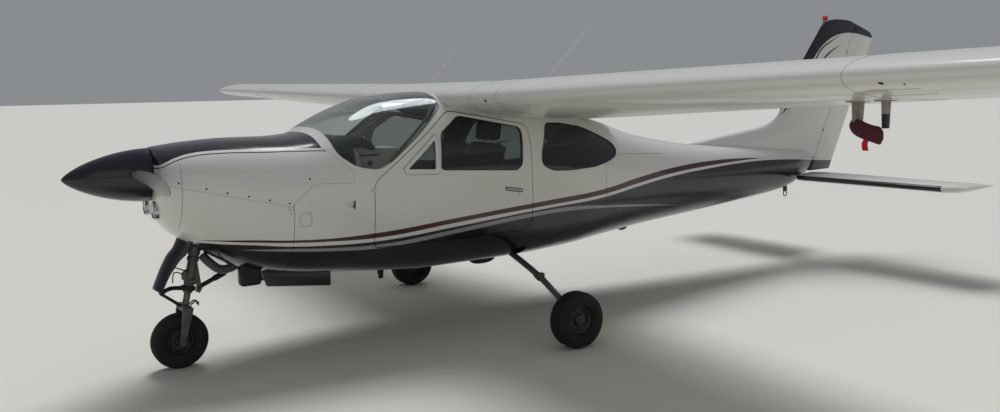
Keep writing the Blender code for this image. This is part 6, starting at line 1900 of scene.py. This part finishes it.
HOOD = rounded([(0.900, 1.380), (0.935, 1.470), (1.020, 1.498), (1.120, 1.490), (1.195, 1.450),
                (1.215, 1.405), (1.205, 1.392), (1.120, 1.430), (1.060, 1.428), (1.055, 0.950),
                (1.035, 0.950), (1.035, 1.380)], 0.02, 4)
FACE = [(1.058, 0.955), (1.082, 0.955), (1.092, 1.380), (1.062, 1.425)]
hood = formed(side_cut(HOOD), only(cabin_room()), edge_round(0.004))
piece("instrument_hood", hood, "airframe", BLACK_PLASTIC, slot="trim_plastic", replaces=("instrument_panel",))
face = formed(side_cut(FACE), only(cabin_room()))
piece("instrument_face", face, "airframe", PANEL_BEIGE, slot="trim_plastic")
for side, hand in HANDS:
    low, high = sorted((side * 0.30, side * 0.462))
    shape = rounded([(1.050, 1.245), (1.036, 1.418), (1.405, 1.400), (1.400, 1.270), (1.330, 1.245)], 0.012)
    box = formed(prism(shape, low, high), edge_round(0.006))
    knob = rod((side * 0.462, 1.190, 1.305), (side * 0.478, 1.190, 1.305), 0.016, 24, 0.003)
    low, high = sorted((side * 0.455, side * 0.4635))
    # Painted shade: the slit is a thin black block on the box's face, and its dark colour stands for the
    # shade inside the opening.
    slit = block((low, 1.085, 1.352), (high, 1.262, 1.366), 0.001)
    piece(f"side_box_{hand}", box, "airframe", PANEL_BEIGE, slot="trim_plastic")
    piece(f"side_box_controls_{hand}", merged(knob, slit), "airframe", BLACK_PLASTIC, slot="dark_plastic")

# Place across, height, radius
DIALS = [(x * 0.105, z, 0.043) for x in (-4, -3, -2, 2, 3, 4) for z in (1.200, 1.300)]
DIALS += [(-0.06, 1.32, 0.025), (0.06, 1.32, 0.025), (-0.06, 1.24, 0.025), (0.06, 1.24, 0.025)]
dials = []
faces = []
for x, z, reach in DIALS:
    station = 1.082 + (z - 0.955) * 0.0235
    dials.append(spun([(reach * 0.84, 0.0), (reach, 0.0), (reach, 0.006), (reach * 0.92, 0.009),
                       (reach * 0.84, 0.006)], (x, station, z), (0.0, 1.0, 0.0), 32, True))
    faces.append(spun([(0.0, 0.003), (reach * 0.86, 0.003), (reach * 0.86, -0.002), (0.0, -0.002)],
                      (x, station, z), (0.0, 1.0, 0.0), 32))
    needle = block((x - 0.0015, station + 0.003, z - reach * 0.2),
                   (x + 0.0015, station + 0.0045, z + reach * 0.7))
    faces.append(painted(needle, 1))
piece("dial_rings", merged(*dials), "airframe", BLACK_STEEL, slot="dark_plastic")
piece("dial_faces", merged(*faces), "airframe", BLACK_PLASTIC, WHITE_PAINT, slot="dark_plastic")

# Place across from the column, height
YOKE = ((-0.118, 1.205), (-0.128, 1.150), (-0.085, 1.118), (0.0, 1.120), (0.085, 1.118), (0.128, 1.150),
        (0.118, 1.205))
for side, hand in HANDS:
    x = side * 0.26
    column = rod((x, 1.07, 1.12), (x, 1.27, 1.12), 0.012, 20)
    wheel = pipe([(x + across, 1.272, z) for across, z in YOKE], 0.0125, 14, 6)
    hub = rod((x, 1.262, 1.12), (x, 1.290, 1.12), 0.030, 28, 0.004)
    piece(f"control_yoke_{hand}", merged(column, wheel, hub), "airframe", BLACK_PLASTIC, slot="dark_plastic")
print("dials:", len(DIALS))

# %% [markdown]
# ## Window post trims
# A taupe strip covers the inside of each post beside the windshield. It is bowed a little
# across, as a pressed strip is.

# %% Window post trims
POST = [(1.300, 1.318), (1.420, 1.420), (1.545, 1.528), (1.640, 1.614), (1.715, 1.690)]
POST_BOW = Vector((0.0, -0.66, 0.75))


def post_row(y, z, side):
    """One bowed line across the trim, inward from the skin."""
    spot, out = on_skin(y, z, side, -0.012)
    return lambda s: spot - out * 0.030 * s + POST_BOW * 0.040 * (0.5 - abs(s - 0.5))


for side, hand in HANDS:
    strip = thickened(lofted([post_row(y, z, side) for y, z in POST], 10, 0.0, 1.0), 0.004)
    piece(f"windshield_post_trim_{hand}", strip, "airframe", SEAL_TAUPE, slot="trim_plastic")

# %% [markdown]
# ## Seats
# The seats wear navy leather over foam. Each pad starts as a rounded block, is remeshed
# into even faces and then blown up a little as a cloth, which rounds its faces between the
# edges as stuffing does. A cap keeps each point near its start so that nothing balloons.


# %% Pads
PAD_VOXEL = 0.012
PAD_CAP = 0.014
PAD_PRESSURE = 4.0
PAD_SHARP = 80.0


def puffed(bm):
    """A pad blown up as a cloth from an even mesh, then smoothed by one subdivision."""
    even = formed(bm, ("REMESH", {"mode": "VOXEL", "voxel_size": PAD_VOXEL}))
    rest = [vert.co.copy() for vert in even.verts]
    obj = stand_in(even)
    cloth = obj.modifiers.new("stuffing", "CLOTH")
    cloth.settings.use_pressure = True
    cloth.settings.uniform_pressure_force = PAD_PRESSURE
    cloth.settings.effector_weights.gravity = 0.0
    for frame_number in range(1, 21):
        bpy.context.scene.frame_set(frame_number)
    full = taken_from(obj)
    bpy.context.scene.frame_set(1)
    for vert, start in zip(full.verts, rest):
        move = vert.co - start
        vert.co = start + move * min(1.0, PAD_CAP / max(move.length, 1e-9))
    return formed(full, ("SUBSURF", {"levels": 1, "render_levels": 1}))


def soft_prism(outline, low, high, radius):
    return formed(prism(outline, low, high), edge_round(radius, 4, 40.0))


SEAT_X = 0.26
seat_pads = {
    "cushion": block((SEAT_X - 0.205, 1.725, 0.800), (SEAT_X + 0.205, 2.150, 0.895), 0.040, 4),
    "backrest": soft_prism([(2.090, 0.905), (2.165, 0.900), (2.310, 1.392), (2.232, 1.405)],
                           SEAT_X - 0.200, SEAT_X + 0.200, 0.030),
    "headrest": soft_prism([(2.236, 1.404), (2.312, 1.400), (2.332, 1.548), (2.256, 1.552)],
                           SEAT_X - 0.145, SEAT_X + 0.145, 0.030),
}
for part_name, bm in seat_pads.items():
    left, right = both_sides(f"seat_{part_name}_left", puffed(bm), "airframe", SEAT_LEATHER,
                             slot="seat_leather", sharp=PAD_SHARP)
for side, hand in HANDS:
    x = side * SEAT_X
    base = block((x - 0.17, 1.76, 0.6205), (x + 0.17, 2.12, 0.790), 0.012, 2)
    shell = soft_prism([(2.080, 0.800), (2.180, 0.800), (2.322, 1.355), (2.305, 1.362), (2.170, 0.915),
                        (2.080, 0.900)], x - 0.19, x + 0.19, 0.006)
    posts = [rod((x + k * 0.055, 2.276, 1.340), (x + k * 0.055, 2.286, 1.450), 0.006, 12) for k in (-1, 1)]
    rails = [block((x + k * 0.15 - 0.012, 1.70, 0.6205), (x + k * 0.15 + 0.012, 2.26, 0.634), 0.002)
             for k in (-1, 1)]
    piece(f"seat_frame_{hand}", merged(base, shell, *posts, *rails), "airframe", BLACK_PLASTIC,
          slot="dark_plastic", replaces=(f"seat_{hand}",))

bench_seat = block((-0.415, 2.750, 0.790), (0.415, 3.070, 0.900), 0.040, 4)
bench_back = soft_prism([(3.110, 0.905), (3.185, 0.900), (3.268, 1.325), (3.215, 1.335)],
                        -0.415, 0.415, 0.028)
for name, bm in (("bench_cushion", bench_seat), ("bench_backrest", bench_back)):
    obj = piece(name, puffed(bm), "airframe", SEAT_LEATHER, slot="seat_leather", sharp=PAD_SHARP)
stand = block((-0.42, 2.780, 0.6205), (0.42, 3.200, 0.780), 0.010)
piece("bench_frame", stand, "airframe", BLACK_PLASTIC, slot="dark_plastic", replaces=("rear_seat",))

# %% [markdown]
# ## Belts and armrests
# Belts are flat webbing, so they are modelled straight as thin strips. Armrests are moulded
# blocks on the inside of the doors.

# %% Belts and armrests
def strap(points, wide, thick=0.0016, across=(1.0, 0.0, 0.0)):
    """A flat strip of webbing along a smooth path."""
    path = eased(points, 8)
    side = Vector(across)
    rows = [lambda s, p=p: p + side * wide * (s - 0.5) for p in path]
    return thickened(lofted(rows, 4, 0.0, 1.0), thick)


# Place out from the seat's middle, station, height
SHOULDER = ((0.150, 2.372, 1.400), (0.145, 2.250, 1.372), (0.120, 2.225, 1.240), (0.030, 2.140, 1.000),
            (-0.120, 2.085, 0.930))
LAP = ((-0.200, 2.120, 0.915), (-0.080, 1.990, 0.928), (0.080, 1.990, 0.928), (0.200, 2.120, 0.915))
BELT_WIDTH = 0.046
for side, hand in HANDS:
    x = side * SEAT_X
    shoulder = strap([(x + side * out, y, z) for out, y, z in SHOULDER], BELT_WIDTH)
    lap = strap([(x + side * out, y, z) for out, y, z in LAP], BELT_WIDTH, across=(0.0, 0.97, 0.24))
    buckle = block((x - 0.028, 1.955, 0.924), (x + 0.028, 2.005, 0.938), 0.004)
    piece(f"seat_belt_{hand}", merged(painted(shoulder, 0), painted(lap, 0), painted(buckle, 1)), "airframe",
          BELT_WEB, CHROME, slot="dark_plastic")
rest = block((0.524, 1.560, 1.005), (0.571, 2.120, 1.060), 0.016, 3)
both_sides("door_armrest_left", rest, "door_left", BLACK_PLASTIC, slot="dark_plastic")

# %% [markdown]
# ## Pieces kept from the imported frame
# Small plain parts are already the right shape. They stay as they are and only need their
# finish.

# %% Finishes of the kept pieces
# Finish, and the pieces that wear it
KEPT = (
    (BLACK_STEEL, ("exhaust_outlet", "belly_mast")),
    (BARE_METAL, ("firewall",)),
    (BLACK_PLASTIC, ("floor",)),
    (CAST_ALLOY, ("engine",)),
)
for finish, names in KEPT:
    for name in names:
        node = bpy.data.objects[name]
        node.data.materials.clear()
        node.data.materials.append(finish)
print("kept pieces:", sum(len(names) for finish, names in KEPT))

# %% [markdown]
# ## Floor, light and camera
# The aircraft stands on a plain pale floor in an even grey studio. A wide soft sun, high on
# the far side, lights the tops without a mirror image of itself. A weak small one beside it
# gives the paint its thin highlights, and a lamp behind the camera fills the near side.

# %% Floor and lamps
FLOOR_HALF = 300.0
bm = bmesh.new()
bmesh.ops.create_grid(bm, x_segments=8, y_segments=8, size=FLOOR_HALF)
mesh = mesh_of("studio_floor", bm)
mesh.materials.append(finish_of("matt_studio_floor", "#DAD6CD", 0.85)[0])
studio_floor = in_scene("studio_floor", mesh)
studio_floor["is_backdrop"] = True

world = bpy.data.worlds.new("grey_studio")
bpy.context.scene.world = world
world.use_nodes = True
world.node_tree.nodes["Background"].inputs["Color"].default_value = linear("#C4C8CC")
world.node_tree.nodes["Background"].inputs["Strength"].default_value = 0.46


def lamp(name, place, aim, size, watts, colour):
    """A square soft lamp at a place, turned to a point."""
    light = bpy.data.lights.new(name, "AREA")
    light.shape = "SQUARE"
    light.size = size
    light.energy = watts
    light.color = linear(colour)[:3]
    obj = in_scene(name, light)
    obj.location = place
    obj.rotation_euler = (Vector(aim) - Vector(place)).to_track_quat("-Z", "Y").to_euler()
    obj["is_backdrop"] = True


def sun(name, strength, spread):
    """A far light that shines down and a little towards the nose."""
    light = bpy.data.lights.new(name, "SUN")
    light.energy = strength
    light.angle = math.radians(spread)
    obj = in_scene(name, light)
    obj.rotation_euler = Vector((0.50, -0.30, -0.95)).to_track_quat("-Z", "Y").to_euler()
    obj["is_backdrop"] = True
    return obj


daylight = sun("soft_daylight", 2.4, 30)
daylight.data.color = linear("#F6F9FF")[:3]
daylight.visible_glossy = False
sun("small_glint", 0.14, 7)
lamp("near_fill_lamp", (10.0, -8.0, 5.0), (0.0, 0.0, 1.0), 6.0, 40.0, "#FFFAF2")

# %% [markdown]
# ## Camera
# The photograph was taken close to the ground by the nose, off the left side, with a wide
# lens. The place, turn and focal length come from matching known points of the aircraft.

# %% Camera
CAMERA_PLACE = (5.859, -4.7625, 1.786)
CAMERA_YAW, CAMERA_DIP, CAMERA_ROLL = (math.radians(a) for a in (56.744, 3.508, -1.199))
FOCAL_PIXELS = 861.0
PHOTO_WIDTH = 1000
MIDDLE_ROW, LENS_ROW = 206.0, 142.66
SENSOR = 36.0
forward = Vector((-math.sin(CAMERA_YAW) * math.cos(CAMERA_DIP), math.cos(CAMERA_YAW) * math.cos(CAMERA_DIP),
                  -math.sin(CAMERA_DIP)))
right = Vector((math.cos(CAMERA_YAW), math.sin(CAMERA_YAW), 0.0))
up = right.cross(forward)
rolled_right = right * math.cos(CAMERA_ROLL) + up * math.sin(CAMERA_ROLL)
rolled_up = up * math.cos(CAMERA_ROLL) - right * math.sin(CAMERA_ROLL)
lens = bpy.data.cameras.new("camera")
lens.sensor_width = SENSOR
lens.lens = FOCAL_PIXELS / PHOTO_WIDTH * SENSOR
lens.shift_y = -(MIDDLE_ROW - LENS_ROW) / PHOTO_WIDTH
camera = in_scene("camera", lens)
axes = Matrix((rolled_right, rolled_up, -forward)).transposed().to_4x4()
camera.matrix_world = Matrix.Translation(CAMERA_PLACE) @ axes
bpy.context.scene.camera = camera
bpy.context.scene.view_settings.view_transform = "Standard"
print("lens:", round(lens.lens, 2), "mm")

# %% [markdown]
# ## Sizes
# The dressed aircraft's length, span and height are printed. The dressed aircraft must stay
# inside the imported one's box.

# %% Print the size
low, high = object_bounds()
print("length", round(high.y - low.y, 3), "span", round(high.x - low.x, 3), "height",
      round(high.z - low.z, 3))
